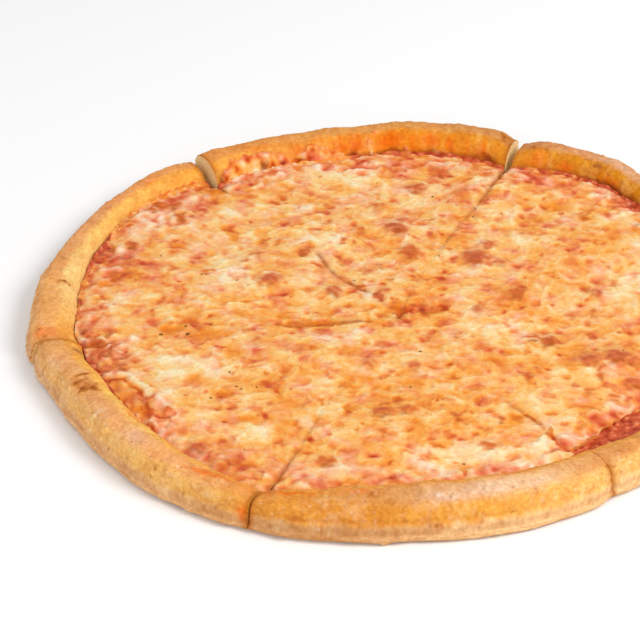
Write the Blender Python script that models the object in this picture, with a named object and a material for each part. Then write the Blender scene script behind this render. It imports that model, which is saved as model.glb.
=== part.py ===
"""Cheese pizza, 12 inches across, cut into six slices that still lie together.

Metres, +Z up. The pizza rests on z = 0 and its box is centred on the origin. Each slice is
three pieces, one on top of the other: a wedge of dough with a raised rim, a thin layer of
tomato sauce, and melted cheese. Directions are in degrees, anticlockwise from +X.
"""

import bmesh
import bpy
import numpy as np

MM = 0.001

# The whole pizza
CROSSING = (0.9 * MM, -7.8 * MM)    # where the three cuts cross
TIP_RADIUS = 1.2 * MM               # the slices' points are blunt by this much
CLOSED_CUT = 0.34 * MM              # gap between two slices whose cheese still touches

# Layers, from the bottom
DOUGH_TOP = 4.5 * MM                # top of the flat dough inside the rim
LAYER_GAP = 0.3 * MM
SAUCE_THICKNESS = 0.9 * MM
CHEESE_THICKNESS = 2.4 * MM
SAUCE_BOTTOM = DOUGH_TOP + LAYER_GAP
SAUCE_TOP = SAUCE_BOTTOM + SAUCE_THICKNESS
CHEESE_BOTTOM = SAUCE_TOP + LAYER_GAP
CHEESE_TOP = CHEESE_BOTTOM + CHEESE_THICKNESS

# The rim's cross-section
CREST_SHARE = 0.50                  # how far in the crest lies, as a share of the rim's width
OUTER_POWER = 3.0                   # over 2 is boxier than an ellipse
INNER_POWER = 2.2
SKIRT_LOW = 1.3 * MM                # the thin lip round the foot of the outer wall
SKIRT_NOSE = 2.8 * MM               # height where the lip stands furthest out
SKIRT_HIGH = 4.4 * MM
SKIRT_PROUD = 1.3 * MM
SKIRT_ROUND_IN = 0.3 * MM           # its upper edge is rounded by this much inwards
SKIRT_ROUND_DOWN = 0.4 * MM         # and this much downwards
CURL_WIDTH = 15.0 * MM              # the underside lifts off the table over this width
CURL_BEND_IN = 0.45                 # the curl bends at this share of its width
CURL_BEND_HIGH = 0.25               # and this share of its height
QUARTER_STEPS = 6                   # points on each half of the rim's curve
OUTER_WAVES = (2, 3, 5)             # waves along a slice in which the rim's reach wobbles
OUTER_WOBBLE = 0.5 * MM
CREST_WAVES = (2, 4, 5)
CREST_WOBBLE = 0.6 * MM

# The cheese's edge and surface
CHEESE_WANDER = 0.4 * MM            # how far the edge strays from its stated place
EDGE_WAVES = (1, 3, 4, 7)
CHEESE_LIP = 1.1 * MM               # height lost where the cheese thins out at its edge
LIP_WIDTH = 7 * MM                  # the cheese thins out over this width
EDGE_SLANT = 0.4 * MM               # its edge leans in by this much at the top
SWELL = 0.55 * MM                   # slow rise and fall of the melted surface
SWELL_WAVES = (                     # radians per mm along x and y, and the start of each wave
    (0.071, 0.043, 0.4),
    (-0.052, 0.084, 1.9),
    (0.109, -0.061, 3.1),
    (0.017, 0.131, 5.2),
)
SEED = 7

# Looks of the plain solids
DOUGH_ROUGHNESS = 0.75
SAUCE_ROUGHNESS = 0.45
CHEESE_ROUGHNESS = 0.40
SHARP_ANGLE = 50                    # edges bent by more degrees than this are shaded as sharp
EMPTY_SIZE = 20 * MM

# Each cut: its direction at the rim, how far it swings by the middle, its gap at the rim, the
# radius where that gap starts to open, and how far it presses the rim's ends down
CUTS = {
    "east": (8.5, 0.0, 1.0 * MM, 118 * MM, 1.6 * MM),
    "north_east": (66.9, 2.8, 4.4 * MM, 116 * MM, 2.4 * MM),
    "north_west": (126.0, -1.2, 3.8 * MM, 120 * MM, 1.5 * MM),
    "west": (189.0, -1.4, 0.9 * MM, 120 * MM, 1.6 * MM),
    "south_west": (245.7, -1.5, 1.3 * MM, 112 * MM, 2.0 * MM),
    "south_east": (304.6, 0.0, 1.1 * MM, 122 * MM, 1.6 * MM),
}
GAP_FULL_AT = 150 * MM              # the cuts have their full gap from this radius outwards

# Each slice: the cuts it lies between, then the rim's outer radius, crest height and width and
# the strip of bare sauce inside it, at five even stations from its first cut to its second,
# in millimetres, and its crust's colour
SLICES = {
    "right_back": {
        "cuts": ("east", "north_east"),
        "outer": (154.0, 155.5, 157.0, 161.0, 157.5),
        "crest": (15.5, 15.2, 14.8, 15.5, 16.0),
        "width": (21.0, 19.0, 16.0, 17.5, 20.0),
        "bare": (1.2, 1.4, 1.4, 1.0, 1.0),
        "crust": "C98A45",
    },
    "back": {
        "cuts": ("north_east", "north_west"),
        "outer": (158.0, 159.0, 156.0, 155.0, 157.5),
        "crest": (17.0, 16.8, 16.4, 16.2, 17.2),
        "width": (22.0, 20.5, 20.5, 20.0, 23.0),
        "bare": (1.1, 1.0, 1.0, 1.0, 1.0),
        "crust": "D08F45",
    },
    "left_back": {
        "cuts": ("north_west", "west"),
        "outer": (158.5, 157.5, 155.5, 155.0, 154.5),
        "crest": (14.5, 13.2, 13.5, 14.3, 14.5),
        "width": (17.0, 14.5, 16.5, 20.5, 21.5),
        "bare": (1.0, 1.0, 1.6, 1.0, 1.2),
        "crust": "DBA766",
    },
    "left_front": {
        "cuts": ("west", "south_west"),
        "outer": (153.0, 148.0, 148.0, 148.5, 148.0),
        "crest": (14.5, 15.0, 15.5, 15.6, 14.8),
        "width": (21.0, 21.0, 21.5, 20.5, 15.5),
        "bare": (1.2, 1.5, 1.1, 1.0, 1.0),
        "crust": "DDA964",
    },
    "front": {
        "cuts": ("south_west", "south_east"),
        "outer": (148.0, 144.0, 141.5, 142.0, 140.0),
        "crest": (15.0, 17.0, 17.5, 17.5, 17.0),
        "width": (15.5, 23.5, 25.0, 24.5, 22.0),
        "bare": (1.0, 1.0, 1.0, 1.1, 2.9),
        "crust": "DBA55C",
    },
    "right_front": {
        "cuts": ("south_east", "east"),
        "outer": (139.5, 141.0, 146.0, 151.0, 154.0),
        "crest": (17.0, 16.5, 16.0, 15.5, 15.5),
        "width": (21.5, 16.0, 19.0, 20.5, 21.0),
        "bare": (6.0, 14.5, 6.5, 1.9, 1.3),
        "crust": "D9A159",
    },
}
SAUCE_COLOUR = "C4501F"
CHEESE_COLOUR = "F0BA78"

# The largest browned bubbles in the cheese: x and y from the crossing, radius and height
BUBBLES = (
    (34, 45, 7.0, 1.5),
    (39, 55, 5.0, 0.9),
    (44, 42, 4.5, 0.8),
    (1, 69, 6.0, 1.1),
    (7, 49, 6.0, 0.8),
    (-7, 89, 5.5, 0.7),
    (10, 105, 5.5, 0.8),
    (30, 99, 5.0, 0.7),
    (-54, 27, 6.0, 0.9),
    (-60, 48, 6.0, 0.8),
    (-27, 20, 5.5, 0.8),
    (50, 17, 6.0, 1.0),
    (83, 16, 6.0, 1.0),
    (62, -19, 7.0, 1.1),
    (76, -34, 7.0, 1.3),
    (87, -31, 8.0, 1.6),
    (-14, -34, 5.5, 0.7),
    (6, -35, 5.5, 0.8),
    (-8, -68, 5.0, 0.8),
)

NOTCH_REACH = 6.0 * MM              # a rim's end slopes down to the cut over this length
CORNER_CUT = 0.6                    # and draws in by this share of the height it loses

# Where the solids have their vertices. Neighbouring slices share the rings along a cut.
STATIONS = np.concatenate(([0.0, 0.02, 0.06], np.linspace(0.13, 0.87, 11), [0.94, 0.98, 1.0]))
CHEESE_STATIONS = np.linspace(0.0, 1.0, 17)
SAUCE_STATIONS = np.linspace(0.0, 1.0, 9)
SWING_FROM = 60 * MM                # a cut swings between these radii and is straight elsewhere
SWING_TO = 108 * MM
FLAT_RINGS = np.array([TIP_RADIUS, 60 * MM, 76 * MM, 92 * MM, 108 * MM])
CHEESE_RINGS = np.concatenate(([TIP_RADIUS], np.arange(9, 109, 9) * MM))
CHEESE_UNDER_FROM = 7               # first ring that the cheese's underside has after its tip


def clear_scene():
    """Remove every object that is already in the file."""
    for old in list(bpy.data.objects):
        bpy.data.objects.remove(old, do_unlink=True)


def linear(hex_colour):
    """Turn an sRGB hex colour into the linear RGBA that a shader takes."""
    srgb = np.array([int(hex_colour[i:i + 2], 16) for i in (0, 2, 4)]) / 255
    rgb = np.where(srgb <= 0.04045, srgb / 12.92, ((srgb + 0.055) / 1.055) ** 2.4)
    return (*rgb, 1.0)


def material(name, hex_colour, roughness):
    """A plain Principled material."""
    made = bpy.data.materials.new(name)
    made.use_nodes = True
    shader = made.node_tree.nodes["Principled BSDF"]
    shader.inputs["Base Color"].default_value = linear(hex_colour)
    shader.inputs["Roughness"].default_value = roughness
    shader.inputs["Metallic"].default_value = 0.0
    return made


def smooth_step(low, high, value):
    """Rise from 0 at low to 1 at high, with level ends."""
    share = np.clip((value - low) / (high - low), 0.0, 1.0)
    return share * share * (3 - 2 * share)


def along(values, share):
    """Read a smooth curve through evenly spaced values, at shares from 0 to 1."""
    padded = np.concatenate(([2 * values[0] - values[1]], values, [2 * values[-1] - values[-2]]))
    place = np.clip(share, 0.0, 1.0) * (len(values) - 1)
    start = np.minimum(place.astype(int), len(values) - 2)
    t = place - start
    a, b, c, d = (padded[start + i] for i in range(4))
    return b + 0.5 * t * (c - a + t * (2 * a - 5 * b + 4 * c - d + t * (3 * (b - c) + d - a)))


def ripple(rng, share, waves, size):
    """A smooth random wobble along the rim: a few sine waves with random phases."""
    total = np.zeros_like(share)
    for count in waves:
        total += np.sin(2 * np.pi * (count * share + rng.random())) / len(waves)
    return size * total


def cut_direction(cut, radius):
    """Where a cut runs at a radius, in radians: straight, but for a slight swing inwards."""
    direction, swing, *_ = CUTS[cut]
    return np.radians(direction + swing * (1 - smooth_step(SWING_FROM, SWING_TO, radius)))


def half_gap(cut, radius):
    """Half the width of a cut: closed in the middle, opening towards the rim."""
    _, _, rim_gap, opens_at, _ = CUTS[cut]
    opening = smooth_step(opens_at, GAP_FULL_AT, radius)
    return 0.5 * (CLOSED_CUT + (rim_gap - CLOSED_CUT) * opening)


def place_in_slice(name, share, radius, height):
    """Points of a slice from the share across it, the radius and the height.

    The direction runs from one cut to the other in proportion to the share, and each cut is
    narrowed by half its gap. Returned round the crossing, turned so the first cut is +X.
    """
    first, second = SLICES[name]["cuts"]
    start = cut_direction(first, radius) + np.arcsin(half_gap(first, radius) / radius)
    end = cut_direction(second, radius) - np.arcsin(half_gap(second, radius) / radius)
    end = np.where(end < start, end + 2 * np.pi, end)
    angle = start + share * (end - start) - np.radians(CUTS[first][0])
    return np.stack((radius * np.cos(angle), radius * np.sin(angle), height), axis=-1)


def rim_sizes(name, share):
    """Outer radius, crest height and width of the rim across a slice, with small wobbles."""
    slice_sizes = SLICES[name]
    rng = np.random.default_rng(SEED + list(SLICES).index(name))
    outer = along(slice_sizes["outer"], share) * MM
    outer += ripple(rng, share, OUTER_WAVES, OUTER_WOBBLE)
    crest = along(slice_sizes["crest"], share) * MM
    crest += ripple(rng, share, CREST_WAVES, CREST_WOBBLE)
    width = along(slice_sizes["width"], share) * MM
    length = outer * np.pi / 3
    for cut, from_cut in zip(slice_sizes["cuts"], (share * length, (1 - share) * length)):
        pressed = CUTS[cut][4] * np.exp(-(from_cut / NOTCH_REACH) ** 2)
        crest -= pressed
        outer -= CORNER_CUT * pressed
    return outer, crest, width


def crust_sections(name):
    """The crust's closed cross-section at each station, as (station, point) radii and heights.

    Over the top: level dough, then the rim as two quarters of a superellipse, the inner one
    up to the crest and the outer one down to the skirt. Back underneath: the curl, then flat.
    """
    outer, crest, width = (size[:, None] for size in rim_sizes(name, STATIONS))
    wall = outer - SKIRT_PROUD
    crest_radius = outer - CREST_SHARE * width
    turn = np.linspace(0.0, np.pi / 2, QUARTER_STEPS + 1)

    rise_out = np.cos(turn) ** (2 / INNER_POWER)
    rise_up = np.sin(turn) ** (2 / INNER_POWER)
    inner_radius = crest_radius - (1 - CREST_SHARE) * width * rise_out
    inner_height = DOUGH_TOP + (crest - DOUGH_TOP) * rise_up

    fall_out = np.cos(turn[-2::-1]) ** (2 / OUTER_POWER)
    fall_down = np.sin(turn[-2::-1]) ** (2 / OUTER_POWER)
    outer_radius = crest_radius + (wall - crest_radius) * fall_out
    outer_height = SKIRT_HIGH + (crest - SKIRT_HIGH) * fall_down

    one = np.ones_like(outer)
    flat_radius = one * FLAT_RINGS
    skirt_radius = np.hstack((outer - SKIRT_ROUND_IN, outer, outer - SKIRT_PROUD))
    skirt_height = one * np.array([SKIRT_HIGH - SKIRT_ROUND_DOWN, SKIRT_NOSE, SKIRT_LOW])
    curl_radius = np.hstack((outer - CURL_BEND_IN * CURL_WIDTH, outer - CURL_WIDTH))
    curl_height = one * np.array([CURL_BEND_HIGH * SKIRT_LOW, 0.0])

    radius = np.hstack((flat_radius, inner_radius, outer_radius, skirt_radius, curl_radius,
                        flat_radius[:, ::-1]))
    height = np.hstack((0 * flat_radius + DOUGH_TOP, inner_height, outer_height, skirt_height,
                        curl_height, 0 * flat_radius))
    return radius, height


def crust_cap(count):
    """How an end of the crust is split into faces: lists of point numbers in the section."""
    toe = len(FLAT_RINGS)
    crest = toe + QUARTER_STEPS
    flat = count - 1 - toe
    curl = flat - 1
    strips = [[i, i + 1, count - 2 - i, count - 1 - i] for i in range(toe)]
    rim = [list(range(toe, crest + 1)) + [curl, flat], list(range(crest, curl + 1))]
    return strips + rim


def cheese_edge(name, share):
    """Radius of the cheese's ragged edge across a slice, just inside the rim's foot."""
    outer, _, width = rim_sizes(name, share)
    rng = np.random.default_rng(SEED * 10 + list(SLICES).index(name))
    wander = ripple(rng, share, EDGE_WAVES, CHEESE_WANDER)
    return outer - width - along(SLICES[name]["bare"], share) * MM - wander


def cheese_relief(x, y):
    """Height that the cheese's surface adds at x, y from the crossing: swell and bubbles."""
    relief = np.zeros_like(x)
    for along_x, along_y, phase in SWELL_WAVES:
        relief += SWELL / 2 * np.sin((along_x * x + along_y * y) / MM + phase)
    for centre_x, centre_y, radius, height in BUBBLES:
        away = np.hypot(x - centre_x * MM, y - centre_y * MM) / (radius * MM)
        relief += height * MM * np.exp(-away ** 2)
    return relief


def cheese_sections(name):
    """The cheese's cross-sections: a level underside, a wavy top and a thinned outer edge."""
    share = CHEESE_STATIONS[:, None]
    edge = cheese_edge(name, CHEESE_STATIONS)[:, None]
    one = np.ones_like(edge)
    top_radius = np.hstack((one * CHEESE_RINGS, edge - EDGE_SLANT))
    points = place_in_slice(name, share, top_radius, np.zeros_like(top_radius))
    turn = np.radians(CUTS[SLICES[name]["cuts"][0]][0])
    x = points[..., 0] * np.cos(turn) - points[..., 1] * np.sin(turn)
    y = points[..., 0] * np.sin(turn) + points[..., 1] * np.cos(turn)
    thinned = CHEESE_LIP * smooth_step(-LIP_WIDTH, 0.0, top_radius - edge)
    top_height = CHEESE_TOP + cheese_relief(x, y) - thinned
    under_rings = CHEESE_RINGS[:CHEESE_UNDER_FROM - 1:-1]
    under_radius = np.hstack((edge, one * under_rings, one * TIP_RADIUS))
    radius = np.hstack((top_radius, under_radius))
    height = np.hstack((top_height, CHEESE_BOTTOM + 0 * under_radius))
    return radius, height


def cheese_cap(count):
    """An end of the cheese: one face up to where the cut starts to swing, then a strip."""
    start = CHEESE_UNDER_FROM
    last = len(CHEESE_RINGS)
    inner = [list(range(0, start + 1)) + [count - 2, count - 1]]
    strips = [[start + i, start + i + 1, count - 3 - i, count - 2 - i] for i in range(last - start)]
    return inner + strips


def sauce_sections(name):
    """The sauce's cross-sections: a thin level sheet that ends at the rim's foot."""
    outer, _, width = (size[:, None] for size in rim_sizes(name, SAUCE_STATIONS))
    edge = outer - width - LAYER_GAP
    upper = np.hstack((FLAT_RINGS + 0 * edge, edge))
    radius = np.hstack((upper, upper[:, ::-1]))
    height = np.hstack((SAUCE_TOP + 0 * upper, SAUCE_BOTTOM + 0 * upper))
    return radius, height


def sauce_cap(count):
    """An end of the sauce, a strip of four-sided faces."""
    return [[i, i + 1, count - 2 - i, count - 1 - i] for i in range(count // 2 - 1)]


def loft(name, points, cap, made_of, parent):
    """Bridge a row of closed sections into one solid, close both ends and add the object."""
    shape = bmesh.new()
    loops = []
    rings = []
    for section in points:
        verts = [shape.verts.new(point) for point in section]
        edges = [shape.edges.new((verts[i - 1], verts[i])) for i in range(len(verts))]
        loops.append(verts)
        rings.append(edges)
    for one, other in zip(rings, rings[1:]):
        bmesh.ops.bridge_loops(shape, edges=one + other)
    for face in cap:
        shape.faces.new([loops[0][i] for i in face])
        shape.faces.new([loops[-1][i] for i in face])
    bmesh.ops.recalc_face_normals(shape, faces=shape.faces)
    mesh = bpy.data.meshes.new(name)
    shape.to_mesh(mesh)
    shape.free()
    mesh.shade_smooth()
    mesh.set_sharp_from_angle(angle=np.radians(SHARP_ANGLE))
    mesh.materials.append(made_of)
    made = bpy.data.objects.new(name, mesh)
    made.parent = parent
    bpy.context.collection.objects.link(made)
    return made


def empty(name, parent, location, turn):
    """An empty that carries pieces."""
    made = bpy.data.objects.new(name, None)
    made.empty_display_size = EMPTY_SIZE
    made.location = location
    made.rotation_euler = (0.0, 0.0, turn)
    made.parent = parent
    bpy.context.collection.objects.link(made)
    return made


def build_layer(layer, slice_name, sections, stations, cap, made_of, parent):
    """Make one layer of one slice."""
    radius, height = sections(slice_name)
    points = place_in_slice(slice_name, stations[:, None], radius, height)
    return loft(f"{layer}_{slice_name}", points, cap(radius.shape[1]), made_of, parent)


def build_slice(name, pizza):
    """One slice: its empty stands on the crossing and is turned to the slice's first cut."""
    sizes = SLICES[name]
    turn = np.radians(CUTS[sizes["cuts"][0]][0])
    carrier = empty(f"slice_{name}", pizza, (*CROSSING, 0.0), turn)
    crust = material(f"baked_dough_{name}", sizes["crust"], DOUGH_ROUGHNESS)
    sauce = material(f"tomato_sauce_{name}", SAUCE_COLOUR, SAUCE_ROUGHNESS)
    cheese = material(f"melted_cheese_{name}", CHEESE_COLOUR, CHEESE_ROUGHNESS)
    build_layer("crust", name, crust_sections, STATIONS, crust_cap, crust, carrier)
    build_layer("sauce", name, sauce_sections, SAUCE_STATIONS, sauce_cap, sauce, carrier)
    build_layer("cheese", name, cheese_sections, CHEESE_STATIONS, cheese_cap, cheese, carrier)


def main():
    """Build the whole pizza."""
    clear_scene()
    pizza = empty("pizza", None, (0.0, 0.0, 0.0), 0.0)
    for name in SLICES:
        build_slice(name, pizza)
    bpy.context.view_layer.update()


main()
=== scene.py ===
# %% [markdown]
# # A cheese pizza, cut into six
#
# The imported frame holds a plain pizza: six slices, each of dough, sauce and cheese. This lesson
# dresses it. Every layer of every slice is worked out again on a fine grid, with the small relief
# that the plain solids leave out, and gets a material with the colours of real food. The pieces
# keep the sizes of the frame, so they lie exactly where the plain ones did.

import bpy
import numpy as np
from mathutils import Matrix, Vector


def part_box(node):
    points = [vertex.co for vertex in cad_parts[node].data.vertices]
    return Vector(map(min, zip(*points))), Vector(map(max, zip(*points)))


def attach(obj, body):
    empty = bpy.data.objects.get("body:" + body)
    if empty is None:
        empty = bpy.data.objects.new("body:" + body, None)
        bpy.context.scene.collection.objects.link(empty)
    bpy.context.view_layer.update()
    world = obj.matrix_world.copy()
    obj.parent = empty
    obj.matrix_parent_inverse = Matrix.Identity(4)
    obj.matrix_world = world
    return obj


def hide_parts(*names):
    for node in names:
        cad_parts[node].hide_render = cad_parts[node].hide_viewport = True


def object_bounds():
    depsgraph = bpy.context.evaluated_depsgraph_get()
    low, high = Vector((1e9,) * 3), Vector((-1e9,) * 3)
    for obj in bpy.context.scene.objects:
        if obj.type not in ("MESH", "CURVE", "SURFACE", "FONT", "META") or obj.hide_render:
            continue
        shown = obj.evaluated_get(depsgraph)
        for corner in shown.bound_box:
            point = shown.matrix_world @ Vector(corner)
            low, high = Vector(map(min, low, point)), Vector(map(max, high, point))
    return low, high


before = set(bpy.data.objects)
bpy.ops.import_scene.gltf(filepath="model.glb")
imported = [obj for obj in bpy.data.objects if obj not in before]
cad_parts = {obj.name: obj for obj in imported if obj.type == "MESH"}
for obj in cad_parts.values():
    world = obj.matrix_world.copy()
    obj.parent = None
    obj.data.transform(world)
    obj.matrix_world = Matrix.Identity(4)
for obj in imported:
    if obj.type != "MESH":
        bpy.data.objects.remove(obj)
cad_low, cad_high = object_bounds()
MM = 0.001
print("frame size in mm:", [round(length / MM, 1) for length in cad_high - cad_low])

# %% [markdown]
# ## The pizza's sizes
#
# A pizza is pressed out by hand, so no two of its rims are alike. The whole shape still comes from
# few numbers: where the cuts cross, which way each cut runs, and how far out, high and wide the
# rim is at five stations along each slice. All lengths are in millimetres, measured from the
# crossing, and directions are in degrees, anticlockwise from +X. The heights of the layers are
# read from the frame.

# %% Sizes
CROSSING = np.array((0.9, -7.8))
TIP_RADIUS = 1.2
DOUGH_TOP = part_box("sauce_front")[0].z / MM - 0.3
SAUCE_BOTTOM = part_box("sauce_front")[0].z / MM
SAUCE_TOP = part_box("sauce_front")[1].z / MM
CHEESE_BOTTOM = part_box("cheese_front")[0].z / MM
CHEESE_TOP = CHEESE_BOTTOM + 2.4
CREST_SHARE = 0.50
OUTER_POWER = 3.0
INNER_POWER = 2.2
SKIRT_LOW = 1.3
SKIRT_HIGH = 4.4
SKIRT_PROUD = 1.3
CURL_WIDTH = 15.0
CHEESE_LIP = 1.1
SWELL = 0.55
NOTCH_REACH = 6.0
CORNER_CUT = 0.6
SWING_FROM = 60.0
SWING_TO = 108.0
GAP_FULL_AT = 150.0
EDGE_LENGTH = 150.0       # about how long a slice's edge is, from cut to cut
SWAY_STEP = 15.0          # the cuts' sideways offsets are listed at every 15 mm of radius
SEED = 7

# direction, swing towards the middle, gap at the rim, radius where it opens, how far it presses
# the crest down
CUTS = {
    "east": (8.5, 0.0, 1.0, 118, 1.6),
    "north_east": (66.9, 2.8, 4.4, 116, 2.4),
    "north_west": (126.0, -1.2, 3.8, 120, 1.5),
    "west": (189.0, -1.4, 0.9, 120, 1.6),
    "south_west": (245.7, -1.5, 1.3, 112, 2.0),
    "south_east": (304.6, 0.0, 1.1, 131, 1.6),
}
# how far the cutter strayed sideways, in mm, every 15 mm from the crossing out to 150 mm
SWAYS = {
    "east": (0.0, 0.4, -0.3, 0.5, 0.2, -0.5, 0.3, 0.4, -0.3, 0.2, 0.0),
    "north_east": (0.0, 1.1, 1.4, 1.1, 0.4, 0.2, 0.6, 1.0, 0.9, 0.5, 0.0),
    "north_west": (0.0, -1.0, 0.6, 2.3, -0.6, -0.9, 0.2, 0.5, 0.8, 0.6, 0.0),
    "west": (0.0, 0.6, 0.1, -0.4, 0.5, 1.4, 1.7, 0.9, 0.6, 0.4, 0.0),
    "south_west": (0.0, 0.3, 0.5, 0.6, 0.9, 0.3, 0.5, 0.3, 1.0, 1.2, 0.0),
    "south_east": (0.0, -0.5, 0.5, -0.4, 0.4, -0.4, 0.5, -0.6, 0.4, 0.2, 0.0),
}
# the rim's reach, crest height and width, and the bare strip inside it
SLICES = {
    "right_back": {
        "cuts": ("east", "north_east"),
        "outer": (154.0, 155.5, 157.0, 161.0, 157.5),
        "crest": (15.5, 15.2, 14.8, 15.5, 16.0),
        "width": (21.0, 19.0, 16.0, 17.5, 20.0),
        "bare": (0.5, 0.9, 0.9, 0.4, 0.3),
    },
    "back": {
        "cuts": ("north_east", "north_west"),
        "outer": (158.0, 159.0, 156.0, 155.0, 157.5),
        "crest": (17.0, 16.8, 16.4, 16.2, 17.2),
        "width": (22.0, 20.5, 20.5, 20.0, 23.0),
        "bare": (0.3, 0.4, 0.2, -0.2, 0.1),
    },
    "left_back": {
        "cuts": ("north_west", "west"),
        "outer": (158.5, 157.5, 155.5, 155.0, 154.5),
        "crest": (14.5, 13.2, 13.5, 14.3, 14.5),
        "width": (17.0, 14.5, 16.5, 20.5, 21.5),
        "bare": (0.0, -0.3, 0.6, -0.4, -0.4),
    },
    "left_front": {
        "cuts": ("west", "south_west"),
        "outer": (153.0, 148.0, 148.0, 148.5, 148.0),
        "crest": (14.5, 15.0, 15.5, 15.6, 14.8),
        "width": (21.0, 21.0, 21.5, 20.5, 15.5),
        "bare": (-0.3, -0.1, -0.3, 0.0, 0.1),
    },
    "front": {
        "cuts": ("south_west", "south_east"),
        "outer": (148.0, 144.0, 141.5, 142.0, 140.0),
        "crest": (15.0, 17.0, 17.5, 17.5, 17.0),
        "width": (15.5, 23.5, 25.0, 24.5, 22.0),
        "bare": (0.1, 0.1, 0.2, 0.4, 2.4),
    },
    "right_front": {
        "cuts": ("south_east", "east"),
        "outer": (139.5, 141.0, 146.0, 151.0, 154.0),
        "crest": (17.0, 16.5, 16.0, 15.5, 15.5),
        "width": (21.5, 16.0, 19.0, 20.5, 21.0),
        "bare": (6.0, 15.0, 6.5, 2.0, 0.8),
    },
}
print(len(SLICES), "slices; cheese from", round(CHEESE_BOTTOM, 1), "to", round(CHEESE_TOP, 1), "mm")

# %% [markdown]
# ## Random patterns from formulas
#
# Melted cheese and baked dough look random, but only at certain sizes: shreds melt into patches
# some millimetres wide, and bubbles burst into spots. We could model each patch by hand. It is
# quicker to mix a few noises, each with the size of one real thing. All of them take whole arrays
# of points and use a seeded table, so they give the same pizza each time. In every call the size
# in millimetres is followed by the number of the table.

# %% Noise helpers
TABLE = 64                # rows and columns of a table before it repeats


def smooth_step(low, high, value):
    """Rise from 0 at low to 1 at high, with level ends."""
    share = np.clip((value - low) / (high - low), 0.0, 1.0)
    return share * share * (3 - 2 * share)


def soft_noise(x, y, size, seed):
    """Smooth noise, about -1 to 1: random slopes on a lattice, size mm apart, faded together."""
    angle = np.random.default_rng(seed).uniform(0, 2 * np.pi, (TABLE, TABLE))
    column = np.floor(x / size).astype(int)
    row = np.floor(y / size).astype(int)
    total = np.zeros(np.shape(x))
    for i in (column, column + 1):
        for j in (row, row + 1):
            across = x / size - i
            up = y / size - j
            turn = angle[i % TABLE, j % TABLE]
            weight = smooth_step(0, 1, 1 - np.abs(across)) * smooth_step(0, 1, 1 - np.abs(up))
            total += weight * (np.cos(turn) * across + np.sin(turn) * up)
    return 1.6 * total


def cloud(x, y, size, seed, layers=3):
    """Several soft noises added up, each half as large and half as strong as the last."""
    total = 0.0
    for layer in range(layers):
        total = total + soft_noise(x, y, size / 2 ** layer, seed + 101 * layer) / 2 ** layer
    return total / 1.4


def scattered(x, y, spacing, seed, share):
    """Distance in mm to the nearest of many scattered centres, and two random numbers of it.

    Each square of a lattice holds one centre at a random place, and only a share of them count.
    """
    table = np.random.default_rng(seed).random((TABLE, TABLE, 5))
    column = np.floor(x / spacing).astype(int)
    row = np.floor(y / spacing).astype(int)
    nearest = np.full(np.shape(x), 1e6)
    one = np.zeros(np.shape(x))
    two = np.zeros(np.shape(x))
    for i in (column - 1, column, column + 1):
        for j in (row - 1, row, row + 1):
            pick = table[i % TABLE, j % TABLE]
            away = np.hypot(x - (i + pick[..., 0]) * spacing, y - (j + pick[..., 1]) * spacing)
            closer = (away < nearest) & (pick[..., 2] < share)
            nearest = np.where(closer, away, nearest)
            one = np.where(closer, pick[..., 3], one)
            two = np.where(closer, pick[..., 4], two)
    return nearest, one, two


def patches(x, y, rows, power=1.0):
    """The strongest of some soft ovals at each point.

    A row is: x, y, length, width, turn in degrees, strength. The oval falls off as
    exp(-d ** (2 power)), where d is 1 on its outline.
    """
    total = np.zeros(np.shape(x))
    for centre_x, centre_y, length, width, turn, strength in rows:
        c = np.cos(np.radians(turn))
        s = np.sin(np.radians(turn))
        along_it = ((x - centre_x) * c + (y - centre_y) * s) * 2 / length
        across_it = ((y - centre_y) * c - (x - centre_x) * s) * 2 / width
        away = (along_it ** 2 + across_it ** 2) ** power
        total = np.maximum(total, strength * np.exp(-away))
    return total


def trails(x, y, rows):
    """The strongest of some soft lines at each point. A row is: points, half width, strength."""
    total = np.zeros(np.shape(x))
    for points, width, strength in rows:
        away = np.full(np.shape(x), 1e6)
        for (x0, y0), (x1, y1) in zip(points[:-1], points[1:]):
            step_x = x1 - x0
            step_y = y1 - y0
            share = ((x - x0) * step_x + (y - y0) * step_y) / (step_x ** 2 + step_y ** 2)
            share = np.clip(share, 0, 1)
            away = np.minimum(away, np.hypot(x - x0 - share * step_x, y - y0 - share * step_y))
        total = np.maximum(total, strength * np.exp(-(away / width) ** 2))
    return total


sample = cloud(*np.meshgrid(np.arange(0.0, 90), np.arange(0.0, 90)), 9, 1)
print("noise runs from", sample.min().round(2), "to", sample.max().round(2))

# %% [markdown]
# ## Where a point of a slice lies
#
# A slice is a wedge between two cuts. A point in it needs two numbers: its share of the way from
# the first cut to the second, and its distance from the crossing. The cuts swing a little and
# gape at the rim, so the wedge is bent to fit them. In the middle of the pizza the cheese has run
# together again after cutting, so there the two sides meet.

# %% Places in a slice
FUSED_GAP = 0.03      # mm between slices whose cheese has run together again

# How far each cut shows as a crack in the cheese: radius and strength, straight in between
CRACKS = {
    "east": ((0, 0.0), (160, 0.0)),
    "north_east": ((0, 0.6), (17, 0.4), (24, 0.0), (52, 0.1), (62, 0.7), (74, 0.6), (80, 0.2),
                   (90, 0.4), (100, 1.0), (160, 1.0)),
    "north_west": ((0, 0.6), (6, 0.2), (20, 0.1), (26, 1.0), (45, 1.0), (60, 0.8), (68, 0.0),
                   (120, 0.0), (132, 0.8), (160, 0.8)),
    "west": ((0, 0.3), (10, 0.2), (18, 0.9), (42, 0.9), (48, 0.1), (56, 0.0), (80, 0.0), (90, 0.3),
             (98, 0.0), (112, 0.0), (122, 0.8), (160, 0.8)),
    "south_west": ((0, 0.0), (66, 0.1), (80, 0.4), (98, 0.5), (112, 1.0), (160, 1.0)),
    "south_east": ((0, 0.0), (66, 0.0), (74, 0.5), (92, 0.8), (100, 0.4), (118, 0.6), (160, 1.0)),
}


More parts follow.
